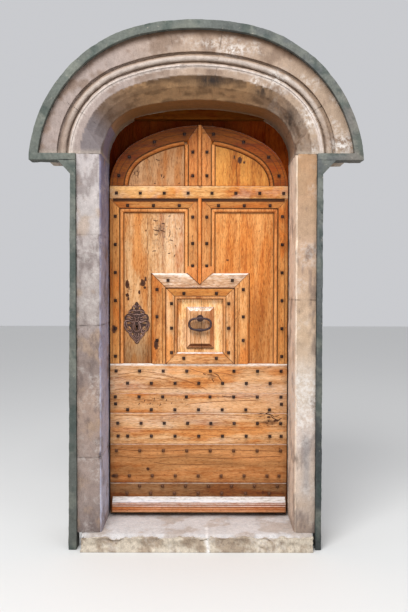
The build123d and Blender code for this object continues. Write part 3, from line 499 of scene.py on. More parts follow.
def wood_masks(node, point, normal):
    """Paint, pale and scar of a point on the wood."""
    x, y, z = point
    across = node.startswith(ACROSS)
    stretched = (1.6, 1, 14) if across else (14, 1, 1.6)
    tone = tone_of(node)
    seed = sum(ord(letter) for letter in node) * 0.37
    patch = cloud(point, stretched, 3, seed)
    warmer = tuple(channel * warm for channel, warm in zip(tone, (0.92, 0.66, 0.38)))
    paler = tuple(min(channel * light, 1) for channel, light in zip(tone, (1.10, 1.16, 1.26)))
    broad = cloud(point, 4.5, 3, seed)
    tone = lerp(tone, warmer, 0.9 * ease(patch + 0.6 * broad, 0.05, 0.6))
    tone = lerp(tone, paler, ease(-patch - 0.6 * broad, 0.05, 0.6))
    shade = 1.0
    front = normal.y < -0.2
    # The front of the back planks, seen in the spandrels, is darkened with painted shade of the arch,
    # deepest on the left; their back is plain oak
    if node.startswith("back_plank"):
        if normal.y > 0.2:
            tone = lerp(tone, rgb(128, 92, 58), 0.8)
        else:
            shade *= 0.72 + 1.05 * ease(x, 0.1, 0.42)
    if not node.startswith(("back_plank", "head_rail")):
        # Painted shade along the leaf's sides, where the jambs shadow it
        shade *= 1 - 0.30 * ease(abs(x), 0.455, 0.492)
        shade *= 1 - 0.85 * nail_stain(point) if front else 1
    # Painted shade of the arch over the top of the leaf; the rim is also made lighter towards its right and
    # lower left
    if node.startswith(("upper", "arch_rim")):
        shade *= 1 - 0.25 * ease(z, 2.02, 2.24)
    if node.startswith("arch_rim"):
        shade *= 1.1 + 0.6 * ease(x, -0.05, 0.40) + 0.2 * ease(x, -0.40, -0.47)
    if node == "lower_plank_4":
        shade *= 1.0 - 0.22 * ease(z, 0.42, 0.48) - 0.12 * ease(z, 0.30, 0.262)
        tone = lerp(tone, rgb(206, 140, 84), 0.6 * ease(cloud(point, (1.2, 1, 9), 3, 4), -0.1, 0.4))
    # Faces that look up are painted paler: painted light from above together with bleaching; tops that lie
    # in shade get none
    pale = 0.0
    if normal.z > 0.35:
        pale = 0.35
        if node.startswith(("square_top", "inner_frame_bottom", "weatherboard", "lower_plank_1")):
            pale = 1.0
        if node.startswith(("inner_frame_top", "back_plank", "head_rail")):
            pale = 0.0
    if front:
        # Pale top edge of the plank: painted highlight together with bleaching
        if node == "lower_plank_1":
            pale = max(pale, ease(z, LOWER_TOP_Z - 0.016, LOWER_TOP_Z - 0.006))
        if node.startswith(("lower_plank_1", "lower_plank_2", "lower_plank_3")):
            pale = max(pale, 0.16 * ease(cloud(point, (1.5, 1, 8), 3, 11), 0.05, 0.5))
        if node.startswith(("boss_panel", "square_top", "cross_rail")):
            pale = max(pale, 0.14 * ease(cloud(point, 9, 3, 5), 0.0, 0.45))
        if node == "middle_panel_left":
            pale = max(pale, 0.14 * ease(x, -0.30, -0.12) * ease(z, 1.15, 1.6))
    # The weatherboard's bead line and its sloping top are painted pale, the top blue-white: painted
    # highlight and painted sky light
    if node == "weatherboard":
        pale = 0.55 * ease(z, 0.142, 0.149)
        if z > WEATHERBOARD_TOP_Z:
            tone = rgb(198, 205, 222)
            pale = 0.8
    if node == "boss_panel" and y < BOSS_SHOULDER_Y:
        tone = lerp(tone, rgb(206, 150, 108), 0.75)
        # Painted shadow of the knocker ring on the boss's face
        halo = math.hypot((x - 0.008) / 0.055, (z - 1.130) / 0.050)
        shade *= 1 - 0.55 * math.exp(-halo * halo)
    if node == "middle_panel_right":
        shade *= 1 - 0.22 * ease(z, 1.45, 1.15)
        tone = lerp(tone, rgb(214, 132, 60), 0.5)
    if node == "middle_panel_left":
        shade *= 1 - 0.44 * ease(z, 1.15, 0.98)
    return tuple(channel * shade for channel in tone), pale, scar_at(point) if front else 0


def inside_arch(point, middle_x, side_x, spring_z, side_radius, crown_radius):
    """How far a point lies inside a three-centred arch; negative is outside."""
    x = abs(point.x - middle_x)
    swing = math.asin(side_x / (crown_radius - side_radius))
    crown_z = spring_z - (crown_radius - side_radius) * math.cos(swing)
    if math.atan2(x, point.z - crown_z) < swing:
        return crown_radius - math.hypot(x, point.z - crown_z)
    if point.z < spring_z:
        return side_x + side_radius - x
    return side_radius - math.hypot(x - side_x, point.z - spring_z)


# Arches by the x of the side centres, the spring's z, the side radius and the crown radius
BAND_ARCH = (0.113, 1.956, 0.696, 1.306)
EDGE_ARCH = (0.230, 2.030, 0.410, 1.068)


def inside_band(point):
    return inside_arch(point, ARCH_MIDDLE_X, *BAND_ARCH)


def inside_edge(point):
    return inside_arch(point, ARCH_MIDDLE_X, *EDGE_ARCH)


# Stone of the faces that the wall hides, beyond the opening's sides
OPENING_SIDE_X = 0.53
HIDDEN_STONE = rgb(164, 148, 134)
HIDDEN_STONE_STAIN = rgb(138, 122, 108)


def jamb_masks(node, point, normal):
    """Paint, pale, soot and rough of a point on a jamb."""
    z = point.z
    wobble = 0.05 * cloud(point, 6, 3, 3)
    left = node.startswith("left")
    reveal = abs(normal.x) > 0.6 and abs(point.x) < OPENING_SIDE_X
    if left:
        levels = (
            (0.10, (158, 142, 136)),
            (0.45, (176, 156, 146)),
            (0.75, (186, 160, 144)),
            (0.92, (160, 142, 134)),
            (1.10, (176, 160, 154)),
            (1.20, (188, 176, 170)),
            (1.60, (190, 178, 174)),
            (1.70, (208, 198, 194)),
            (2.05, (206, 196, 194)),
        )
        # The left reveal is painted blue: painted sky light on a face in shade, darker towards the top
        if reveal:
            levels = ((0.1, (212, 214, 236)), (1.0, (188, 188, 216)), (2.05, (146, 142, 170)))
    else:
        levels = (
            (0.10, (204, 184, 168)),
            (0.40, (232, 210, 192)),
            (0.55, (236, 216, 202)),
            (0.85, (232, 214, 196)),
            (1.10, (226, 196, 166)),
            (1.50, (214, 180, 152)),
            (2.05, (200, 158, 120)),
        )
        # The right reveal is painted bright and warm: painted light
        if reveal:
            levels = ((0.1, (248, 226, 204)), (2.05, (254, 232, 208)))
    height = z + wobble
    tone = rgb(*levels[0][1])
    for (low, first), (high, second) in zip(levels, levels[1:]):
        if height > low:
            tone = lerp(rgb(*first), rgb(*second), ease(height, low, high))
    patch = cloud(point, 5, 4, 1 if left else 8)
    tone = lerp(tone, rgb(196, 164, 132), (0.45 if left else 0.30) * ease(patch, 0.1, 0.5))
    grime = cloud(point, (16, 8, 5), 4, 6)
    tone = lerp(tone, rgb(124, 108, 104), 0.55 * ease(grime, 0.12, 0.6))
    joints = LEFT_JOINTS if left else RIGHT_JOINTS
    gap = min(abs(z - joint) for joint in joints) + 0.004 * cloud(point, 20, 2, 9)
    # Overall brightness; the right reveal keeps more as part of its painted light
    kept = 0.72 if left else 0.84 if reveal else 0.70
    tone = tuple(channel * kept for channel in tone)
    tone = lerp(tone, rgb(96, 82, 76), (0.20 if left else 0.10) * ease(gap, 0.006, 0.001))
    tone = lerp(tone, rgb(110, 96, 92), 0.45 * ease(z, 0.16, 0.085))
    rough = 0.35 + 0.4 * ease(grime, 0.0, 0.5)
    pale = 0.25 * ease(-patch, 0.0, 0.4)
    if left:
        rough = max(rough, ease(z, 0.90, 0.97) * ease(z, 1.19, 1.15))
        rough *= 1 - 0.6 * ease(z, 1.5, 1.62)
    else:
        drip = math.exp(-(((point.x - 0.56) / 0.022) ** 2)) * ease(z, 0.24, 0.32) * ease(z, 0.66, 0.55)
        tone = lerp(tone, rgb(150, 144, 142), 0.75 * drip)
        rough *= 0.6
        pale = max(pale, 0.7 * ease(z, 0.58, 0.66) * ease(z, 0.98, 0.86))
    if normal.y > 0.6 or abs(normal.x) > 0.6 and abs(point.x) > OPENING_SIDE_X:
        tone = lerp(HIDDEN_STONE, HIDDEN_STONE_STAIN, ease(patch, 0.0, 0.45))
    return tone, pale, 0.0, rough


# Soot and limewash on the arch: x, z, half width, half height, strength
SOOT = (
    (0.062, 2.410, 0.085, 0.030, 1.0),
    (-0.040, 2.400, 0.050, 0.016, 0.5),
    (0.330, 2.365, 0.050, 0.040, 0.85),
    (0.180, 2.410, 0.060, 0.020, 0.5),
    (0.470, 2.220, 0.032, 0.070, 0.75),
)
LIMEWASH = (
    (0.287, 2.405, 0.022, 0.020, 1.0),
    (0.180, 2.560, 0.080, 0.030, 0.8),
    (0.060, 2.590, 0.100, 0.020, 0.5),
    (0.400, 2.420, 0.050, 0.040, 0.9),
    (0.560, 2.210, 0.040, 0.060, 0.8),
    (0.730, 2.080, 0.060, 0.050, 0.9),
    (0.560, 2.060, 0.050, 0.040, 0.7),
)


def spots(point, places):
    most = 0.0
    for x, z, half_width, half_height, strength in places:
        distance = math.hypot((point.x - x) / half_width, (point.z - z) / half_height)
        most = max(most, strength * math.exp(-(distance**2)))
    return min(most, 1.0)


def arch_masks(node, point, normal):
    """Paint, pale, soot and rough of a point on the arch."""
    x, y, z = point
    angle = math.degrees(math.atan2(x - ARCH_MIDDLE_X, z - ARCH_TURN_Z))
    within = inside_edge(point)
    patch = cloud(point, 6, 4, 2)
    rough = 0.4
    soot = 0.0
    pale = 0.35 * ease(cloud(point, 9, 4, 5), 0.0, 0.4) * ease(angle, -30, 20)
    tone = lerp(rgb(156, 141, 134), rgb(160, 138, 120), ease(angle, -40, 5))
    tone = lerp(tone, rgb(164, 142, 122), ease(angle, 20, 60))
    tone = lerp(tone, rgb(122, 101, 86), 0.7 * ease(patch, 0.02, 0.45))
    if within > HOLLOW_EDGE or y > STONE_FACE_Y:
        side_tone = rgb(112, 93, 80) if angle < 0 else rgb(138, 116, 98)
        tone = lerp(rgb(148, 115, 82), side_tone, ease(abs(angle), 22, 52))
        along = (angle * 0.10, within * 26, y * 20)
        tone = lerp(tone, rgb(84, 61, 42), 0.6 * ease(cloud(along, 1.0, 4, 7), -0.1, 0.5))
        rough = 0.12
        # Painted sky light: the hollow's left foot is tinted blue-grey
        if angle < -38:
            tone = lerp(tone, rgb(118, 109, 109), ease(angle, -46, -56))
        if angle > 38:
            rough = 0.9
            tone = lerp(tone, rgb(146, 129, 114), 0.6 * ease(cloud(point, 12, 4, 4), -0.1, 0.3))
        if abs(angle) < 24:
            tone = lerp(tone, rgb(78, 58, 42), 0.65 * ease(within, 0.085, 0.055))
        pale = 0.0
        soot = spots(point, SOOT)
    # The soffit: brown grime together with painted warm light bounced from the wood, painted sky light in
    # blue at its left foot, and a lighter back edge
    if y > SOFFIT_Y:
        tone = lerp(rgb(122, 82, 44), rgb(150, 122, 98), ease(abs(angle), 34, 62))
        if angle < -50:
            tone = lerp(tone, rgb(118, 110, 130), 0.85)
        tone = lerp(tone, rgb(126, 104, 84), 0.6 * ease(y, 0.24, 0.275))
        pale = soot = 0.0
    elif -0.078 < within < 0.012:
        # Painted shade in the moulding's grooves, and painted highlight along the roll and the front arris
        tone = lerp(tone, rgb(142, 118, 98), 0.6 * ease(within, -0.076, -0.064) * ease(within, 0.012, 0.0))
        roll_highlight = ease(abs(within + 0.035), 0.016, 0.004) * ease(abs(angle), 76, 40)
        edge = ease(abs(within - 0.001), 0.013, 0.003)
        tone = lerp(tone, rgb(188, 175, 165), 0.85 * roll_highlight)
        tone = lerp(tone, rgb(212, 200, 192), 0.85 * edge)
        pale = 0.0
    if y < STONE_FACE_Y and within < HOLLOW_EDGE:
        shadow = ease(inside_band(point), 0.046, 0.006) * ease(abs(angle), 80, 20)
        tone = lerp(tone, rgb(80, 56, 38), 0.85 * shadow)
        pale = max(pale * (1 - shadow), spots(point, LIMEWASH))
    if y > STONE_FACE_Y and inside_band(point) < 0.030 or normal.y > 0.6:
        tone = lerp(HIDDEN_STONE, HIDDEN_STONE_STAIN, ease(patch, 0.0, 0.45))
        pale = soot = 0.0
    foot = ease(z, ARCH_SEAT_Z + 0.030, ARCH_SEAT_Z + 0.004)
    tone = lerp(tone, rgb(190, 176, 160), 0.4 * foot)
    return tone, min(pale, 1), soot, rough


def sill_masks(node, point, normal):
    tone = rgb(212, 209, 208)
    patch = cloud(point, 7, 4, 2)
    tone = lerp(tone, rgb(186, 172, 160), 0.7 * ease(patch, 0.0, 0.45))
    rough = 0.3
    if point.y < -0.045:
        tone = lerp(rgb(206, 194, 176), rgb(166, 149, 130), ease(cloud(point, 12, 4, 6), -0.1, 0.4))
        rough = 1.0
    tone = lerp(tone, rgb(120, 106, 96), 0.7 * ease(point.y, 0.20, 0.29))
    crack = abs(point.x - 0.05 - 0.012 * cloud(point, 14, 3, 1))
    tone = lerp(tone, rgb(240, 238, 236), 0.8 * ease(crack, 0.010, 0.003) * ease(point.y, 0.14, 0.05))
    return tone, 0.3 * ease(-patch, 0.0, 0.4), 0.0, rough


def border_masks(node, point, normal):
    tone = rgb(98, 102, 96)
    side = ease(point.x, -0.3, 0.6)
    tone = lerp(tone, rgb(91, 94, 93), side)
    tone = lerp(tone, rgb(116, 112, 106), ease(point.x, 0.66, 0.80))
    tone = lerp(tone, rgb(58, 62, 62), 0.85 * ease(point.z, 1.5, 0.6) * side)
    tone = lerp(tone, rgb(80, 82, 78), 0.6 * ease(point.z, 1.3, 0.6) * (1 - side))
    tone = lerp(tone, rgb(122, 124, 114), 0.5 * ease(cloud(point, 7, 4, 3), 0.0, 0.5))
    tone = lerp(tone, rgb(58, 70, 66), 0.6 * ease(cloud(point, 10, 4, 9), 0.05, 0.5))
    if normal.y > -0.5:
        tone = lerp(tone, rgb(70, 66, 60), 0.4)
    return tone, 0.0, 0.0, 0.3


# Chips out of the stone: x, y, z, radius, depth
CHIPS = (
    (-0.075, -0.005, 2.470, 0.022, 0.007),
    (0.330, -0.003, 2.395, 0.020, 0.005),
    (-0.500, 0.010, 1.600, 0.030, 0.008),
    (-0.502, 0.010, 1.020, 0.050, 0.010),
    (0.500, 0.010, 0.450, 0.035, 0.008),
    (-0.500, 0.010, 0.480, 0.030, 0.008),
    (0.030, -0.060, 0.082, 0.040, 0.014),
    (0.380, -0.060, 0.080, 0.050, 0.012),
    (-0.420, -0.060, 0.082, 0.060, 0.014),
)


def stone_wear(node, point, normal, rough):
    """How far a point of the stone goes out, in metres; negative is inwards."""
    move = 0.0022 * cloud(point, 9, 3, 1) + 0.0012 * cloud(point, 34, 3, 2)
    move -= 0.0030 * rough * ease(cloud(point, 30, 4, 5), 0.0, 0.5)
    if node == "sill_stone":
        if point.y < -0.03:
            move = -0.010 + 0.012 * cloud(point, (14, 14, 22), 4, 3) + 0.004 * cloud(point, 60, 3, 4)
            move = min(move, 0.0) * ease(point.z, 0.0, 0.03)
        else:
            move *= 0.8
    if node.startswith("border"):
        move *= 0.8
    for x, y, z, radius, depth in CHIPS:
        distance = (point - Vector((x, y, z))).length
        if distance < radius:
            move -= depth * ease(distance, radius, radius * 0.3)
    return move


def slice_faces(bm, axis, size):
    """Cuts the faces that don't look into the building into cells of about that size."""
    low = min(v.co[axis] for v in bm.verts)
    high = max(v.co[axis] for v in bm.verts)
    count = max(1, round((high - low) / size))
    normal = Vector((axis == 0, axis == 1, axis == 2))
    bm.normal_update()
    waiting = [(min(v.co[axis] for v in f.verts), f) for f in bm.faces if f.normal.y < WALL_SIDE]
    waiting.sort(key=lambda pair: pair[0], reverse=True)
    crossing = []
    for index in range(1, count):
        at = low + (high - low) * index / count
        while waiting and waiting[-1][0] < at - 1e-6:
            crossing.append(waiting.pop()[1])
        crossing = [f for f in crossing if max(v.co[axis] for v in f.verts) > at + 1e-6]
        if not crossing:
            continue
        edges = list({e for f in crossing for e in f.edges})
        verts = list({v for f in crossing for v in f.verts})
        result = bmesh.ops.bisect_plane(
            bm, geom=crossing + edges + verts, dist=1e-6, plane_co=normal * at, plane_no=normal
        )
        crossing = [item for item in result["geom"] if isinstance(item, bmesh.types.BMFace)]


def dress(piece, material, order):
    """Gives a piece its material and its own place in the pattern."""
    piece.data.materials.clear()
    piece.data.materials.append(material)
    piece["shift"] = [0.37 * order % 7.0, 0.53 * order % 5.0, 0.71 * order % 6.0]


def add_piece(name, bm, body, material, order, tones=None, crease=38, node=None):
    """Object on a body; edges over the crease in degrees stay sharp, and 0 leaves the faces flat."""
    mesh = bpy.data.meshes.new(name)
    bm.to_mesh(mesh)
    bm.free()
    for polygon in mesh.polygons:
        polygon.use_smooth = crease > 0
    if 0 < crease < 180:
        mesh.set_sharp_from_angle(angle=math.radians(crease))
    if tones:
        mesh.color_attributes.new("paint", "FLOAT_COLOR", "POINT")
        channels = [channel for tone in tones for channel in (*tone, 1)]
        mesh.attributes["paint"].data.foreach_set("color", channels)
    piece = bpy.data.objects.new(name, mesh)
    bpy.context.scene.collection.objects.link(piece)
    if node:
        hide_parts(node)
    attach(piece, body)
    dress(piece, material, order)
    return piece


def refined(node, material, order, cells, edge, masks, wear=None, sharp_angle=40):
    """Copy of a CAD node with eased edges, a fine net on what shows, paint and wear."""
    source = nodes[node]
    bm = bmesh.new()
    bm.from_mesh(source.data)
    bmesh.ops.transform(bm, matrix=source.matrix_world, verts=bm.verts)
    bmesh.ops.remove_doubles(bm, verts=bm.verts, dist=WELD)
    bmesh.ops.dissolve_limit(bm, angle_limit=math.radians(0.4), verts=bm.verts, edges=bm.edges)
    sharp = [e for e in bm.edges if e.is_manifold and e.calc_face_angle(0) > math.radians(sharp_angle)]
    bmesh.ops.bevel(bm, geom=sharp, offset=edge, segments=2, profile=0.6, affect="EDGES", clamp_overlap=True)
    for axis, size in enumerate(cells):
        if size:
            slice_faces(bm, axis, size)
    bm.normal_update()
    values = [masks(node, vertex.co, vertex.normal) for vertex in bm.verts]
    if wear:
        moves = [v.normal * wear(node, v.co, v.normal, value[3]) for v, value in zip(bm.verts, values)]
        for vertex, move in zip(bm.verts, moves):
            if vertex.normal.y < WALL_SIDE:
                vertex.co += move
    body = body_of(source)[0]
    tones = [value[0] for value in values]
    piece = add_piece(node + "_worn", bm, body, material, order, tones, node=node)
    names = ("pale", "soot", "rough") if len(values[0]) > 3 else ("pale", "scar")
    for index, name in enumerate(names, 1):
        painted = piece.data.attributes.new(name, "FLOAT", "POINT")
        painted.data.foreach_set("value", [value[index] for value in values])


for order, (node, source) in enumerate(sorted(nodes.items())):
    slot = slots[node]
    if slot in ("oak", "dark_oak"):
        across = node.startswith(ACROSS)
        cells = (0.008, 0, 0.007) if across else (0.007, 0, 0.008)
        fine = 0.0015 if node.startswith(("ridge", "inner", "boss")) else 0.002
        grain = "across" if across else "upright"
        refined(node, materials[f"{slot}_{grain}"], order, cells, fine, wood_masks)
    elif node == "sill_stone":
        refined(node, materials[slot], 0, (0.009, 0.012, 0.008), 0.004, sill_masks, stone_wear)
    elif "_jamb_" in node:
        refined(node, materials[slot], 0, (0.009, 0.012, 0.010), 0.0004, jamb_masks, stone_wear)
    elif slot == "limestone":
        refined(node, materials[slot], 0, (0.010, 0.014, 0.010), 0.0025, arch_masks, stone_wear, 60)
    elif slot == "painted_render":
        refined(node, materials[slot], 0, (0.014, 0.03, 0.014), 0.003, border_masks, stone_wear)
    else:
        dress(source, materials[IRONS.get(node, "wrought_iron")], order)


def add_skin(bm, grid, capped=True):
    """Closed skin over rows of points, each a cross-section; without caps the last row meets the first."""
    rows = [[bm.verts.new(place) for place in row] for row in grid]
    if capped:
        bm.faces.new(rows[0][::-1])
        bm.faces.new(rows[-1])
    else:
        rows.append(rows[0])
    count = len(rows[0])
    for first, second in zip(rows, rows[1:]):
        for index in range(count):
            after = (index + 1) % count
            bm.faces.new((first[index], first[after], second[after], second[index]))
    bmesh.ops.recalc_face_normals(bm, faces=bm.faces)


def sheet_piece(name, grid, tones, material, order):
    """Closed strip of the leaf's oak through rows of points."""
    bm = bmesh.new()
    add_skin(bm, grid)
    add_piece(name, bm, "leaf", materials[material], order, tones)


def run_moulding(name, path, section, front_y, tone, across=False):
    """Moulding along a path of (x, z); the section is (offset to the left, depth, share of the tone that
    paints its light and shade).
    """
    normals = []
    for (x, z), (next_x, next_z) in zip(path, path[1:]):
        normals.append(Vector((z - next_z, next_x - x)).normalized())
    grid = []
    tones = []
    back = max(depth for _, depth, _ in section) + 0.002
    loop = list(section) + [(section[-1][0], back, 1.0), (section[0][0], back, 1.0)]
    for index, (x, z) in enumerate(path):
        before = normals[max(index - 1, 0)]
        after = normals[min(index, len(normals) - 1)]
        middle = (before + after) / (1 + before.dot(after))
        grid.append([(x + middle.x * u, front_y + depth, z + middle.y * u) for u, depth, _ in loop])
        for _, _, share in loop:
            wobble = 1 + 0.12 * cloud((x, front_y, z), 14, 3, 4)
            tones.append(tuple(channel * share * wobble for channel in tone))
    sheet_piece(name, grid, tones, "oak_across" if across else "oak_upright", len(path))


def dense(path, step=0.03):
    """The same path with points no further apart than the step."""
    points = [path[0]]
    for first, second in zip(path, path[1:]):
        count = max(1, math.ceil(math.dist(first, second) / step))
        for index in range(1, count + 1):
            share = index / count
            points.append(tuple(a + (b - a) * share for a, b in zip(first, second)))
    return points


# Sections of the mouldings: offset, depth behind the strip's front, share of the tone; the share gives
# painted shade in the grooves and at the feet, and painted highlight where it is over 1
PANEL_SECTION = (
    (-0.0088, -0.0002, 0.30),
    (-0.0060, 0.0016, 0.16),
    (-0.0034, 0.0030, 0.18),
    (-0.0020, 0.0016, 0.80),
    (0.0015, 0.0002, 1.05),
    (0.0060, 0.0008, 1.10),
    (0.0105, 0.0040, 1.00),
    (0.0135, 0.0085, 0.80),
    (0.0145, 0.0125, 0.40),
    (0.0165, 0.0152, 0.20),
    (0.0195, 0.0157, 0.45),
)
FRAME_SECTION = (
    (-0.0010, 0.0082, 0.30),
    (0.0008, 0.0048, 0.60),
    (0.0025, 0.0006, 0.95),
    (0.0060, -0.0026, 1.08),
    (0.0110, -0.0030, 1.10),
    (0.0150, -0.0016, 0.85),
    (0.0158, -0.0004, 0.22),
    (0.0190, -0.0003, 0.22),
)
# Painted shadow under the cross rail: a thin dark strip
UNDER_RAIL_SHADOW_SECTION = (
    (0.0000, -0.0018, 0.10),
    (0.0040, -0.0012, 0.12),
    (0.0110, -0.0008, 0.16),
    (0.0150, -0.0006, 0.30),
    (0.0180, -0.0003, 0.60),
)


# Places of the strips' edges and of the panels' depths
SQUARE_FRONT_Y = 0.2765
INNER_FRONT_Y = 0.2685
STRIP_INNER_X = 0.432
STRIP_BOTTOM_Z = 1.783
CENTRE_LEFT_X = -0.064
CENTRE_RIGHT_X = 0.074
SQUARE_LEFT_X = -0.262
SQUARE_RIGHT_X = 0.278
SQUARE_TOP_Z = 1.432
BEAD_LEFT_X = -0.182
BEAD_RIGHT_X = 0.198
BEAD_TOP_Z = 1.352
FIELD_LEFT_X = -0.118
FIELD_RIGHT_X = 0.134
FIELD_TOP_Z = 1.288
FIELD_FOOT_Z = 0.993
RIDGE_LEFT_X = -0.004
RIDGE_RIGHT_X = 0.014
BEAD_WIDTH = 0.018
PANEL_SINK = 0.016
SIDE_BED_Y = 0.2965
RIDGE_TOP_Z = 2.190
CENTRE_TOP_Z = 2.140
UNDER_RAIL_HALF_WIDTH = 0.474
LEFT_SEAM_X = -0.478
RIGHT_SEAM_X = 0.476
GOLD = rgb(216, 146, 84)
DARK_GOLD = rgb(176, 108, 50)


def run_seam(name, path, front_y, width, share, tone=GOLD, across=False):
    """Thin flat line on the wood."""
    section = ((-width / 2, -0.0005, share), (width / 2, -0.0005, share))
    run_moulding(name, path, section, front_y, tone, across)


panel_paths = {
    "left": [
        (-STRIP_INNER_X, LOWER_TOP_Z + 0.001),
        (-STRIP_INNER_X, STRIP_BOTTOM_Z),
        (CENTRE_LEFT_X, STRIP_BOTTOM_Z),
        (CENTRE_LEFT_X, SQUARE_TOP_Z),
    ],
    "right": [
        (CENTRE_RIGHT_X, SQUARE_TOP_Z),
        (CENTRE_RIGHT_X, STRIP_BOTTOM_Z),
        (STRIP_INNER_X, STRIP_BOTTOM_Z),
        (STRIP_INNER_X, LOWER_TOP_Z + 0.001),
    ],
}
to_right = tuple((-u, depth, share) for u, depth, share in PANEL_SECTION)
for side, path in panel_paths.items():
    run_moulding(f"panel_moulding_{side}", dense(path), to_right, LEAF_FRONT_Y, GOLD)

field_path = [
    (FIELD_LEFT_X, FIELD_FOOT_Z),
    (FIELD_LEFT_X, FIELD_TOP_Z),
    (FIELD_RIGHT_X, FIELD_TOP_Z),
    (FIELD_RIGHT_X, FIELD_FOOT_Z),
]
run_moulding("frame_moulding", dense(field_path), FRAME_SECTION, INNER_FRONT_Y, rgb(196, 136, 84))
rail_path = [(UNDER_RAIL_HALF_WIDTH, RAIL_BOTTOM_Z), (-UNDER_RAIL_HALF_WIDTH, RAIL_BOTTOM_Z)]
run_moulding("under_rail_shadow", dense(rail_path), UNDER_RAIL_SHADOW_SECTION, LEAF_FRONT_Y, DARK_GOLD, True)

RIM_SPRING_Z = 1.908
RIM_SIDE_X = 0.215
RIM_SIDE_RADIUS = 0.277
RIM_CROWN_RADIUS = 0.698
RIM_WIDTH = 0.084


def rim_line(side, inset, foot_z, last_x):
    """Points of a line inside the rim's outer arch, from its foot up to last_x."""
    side_radius = RIM_SIDE_RADIUS - inset
    crown_radius = RIM_CROWN_RADIUS - inset
    swing = math.asin(RIM_SIDE_X / (RIM_CROWN_RADIUS - RIM_SIDE_RADIUS))
    crown_z = RIM_SPRING_Z - (RIM_CROWN_RADIUS - RIM_SIDE_RADIUS) * math.cos(swing)
    points = []
    angle = math.asin((foot_z - RIM_SPRING_Z) / side_radius)
    steps = 20
    for index in range(steps + 1):
        turn = angle + (math.pi / 2 - swing - angle) * index / steps
        z = RIM_SPRING_Z + side_radius * math.sin(turn)
        points.append((RIM_SIDE_X + side_radius * math.cos(turn), z))
    for index in range(1, steps + 1):
        turn = swing * (1 - index / steps)
        x = crown_radius * math.sin(turn)
        if x < last_x:
            break
        points.append((x, crown_z + crown_radius * math.cos(turn)))
    return [(side * x, z) for x, z in points]


for side, name in ((-1, "left"), (1, "right")):
    arch = rim_line(side, RIM_WIDTH, RAIL_TOP_Z + 0.001, last_x=0.070)
    section = PANEL_SECTION if side > 0 else to_right
    run_moulding(f"rim_moulding_{name}", arch, section, LEAF_FRONT_Y, DARK_GOLD, True)
    # Two dark lines along the rim stand for its grooves: painted shade
    for index, inset in enumerate((0.014, 0.040)):
        line = rim_line(side, inset, RAIL_TOP_Z + 0.002, last_x=0.012)
        run_seam(f"rim_line_{name}_{index}", line, LEAF_FRONT_Y, 0.0026, 0.20, DARK_GOLD, True)

for name, x, section in (("left", CENTRE_LEFT_X, PANEL_SECTION), ("right", CENTRE_RIGHT_X, to_right)):
    path = dense([(x, RAIL_TOP_Z + 0.001), (x, CENTRE_TOP_Z)])
    run_moulding(f"upper_moulding_{name}", path, section, LEAF_FRONT_Y, GOLD)


def upright(x, foot_z, top_z):
    return (x, foot_z), (x, top_z)


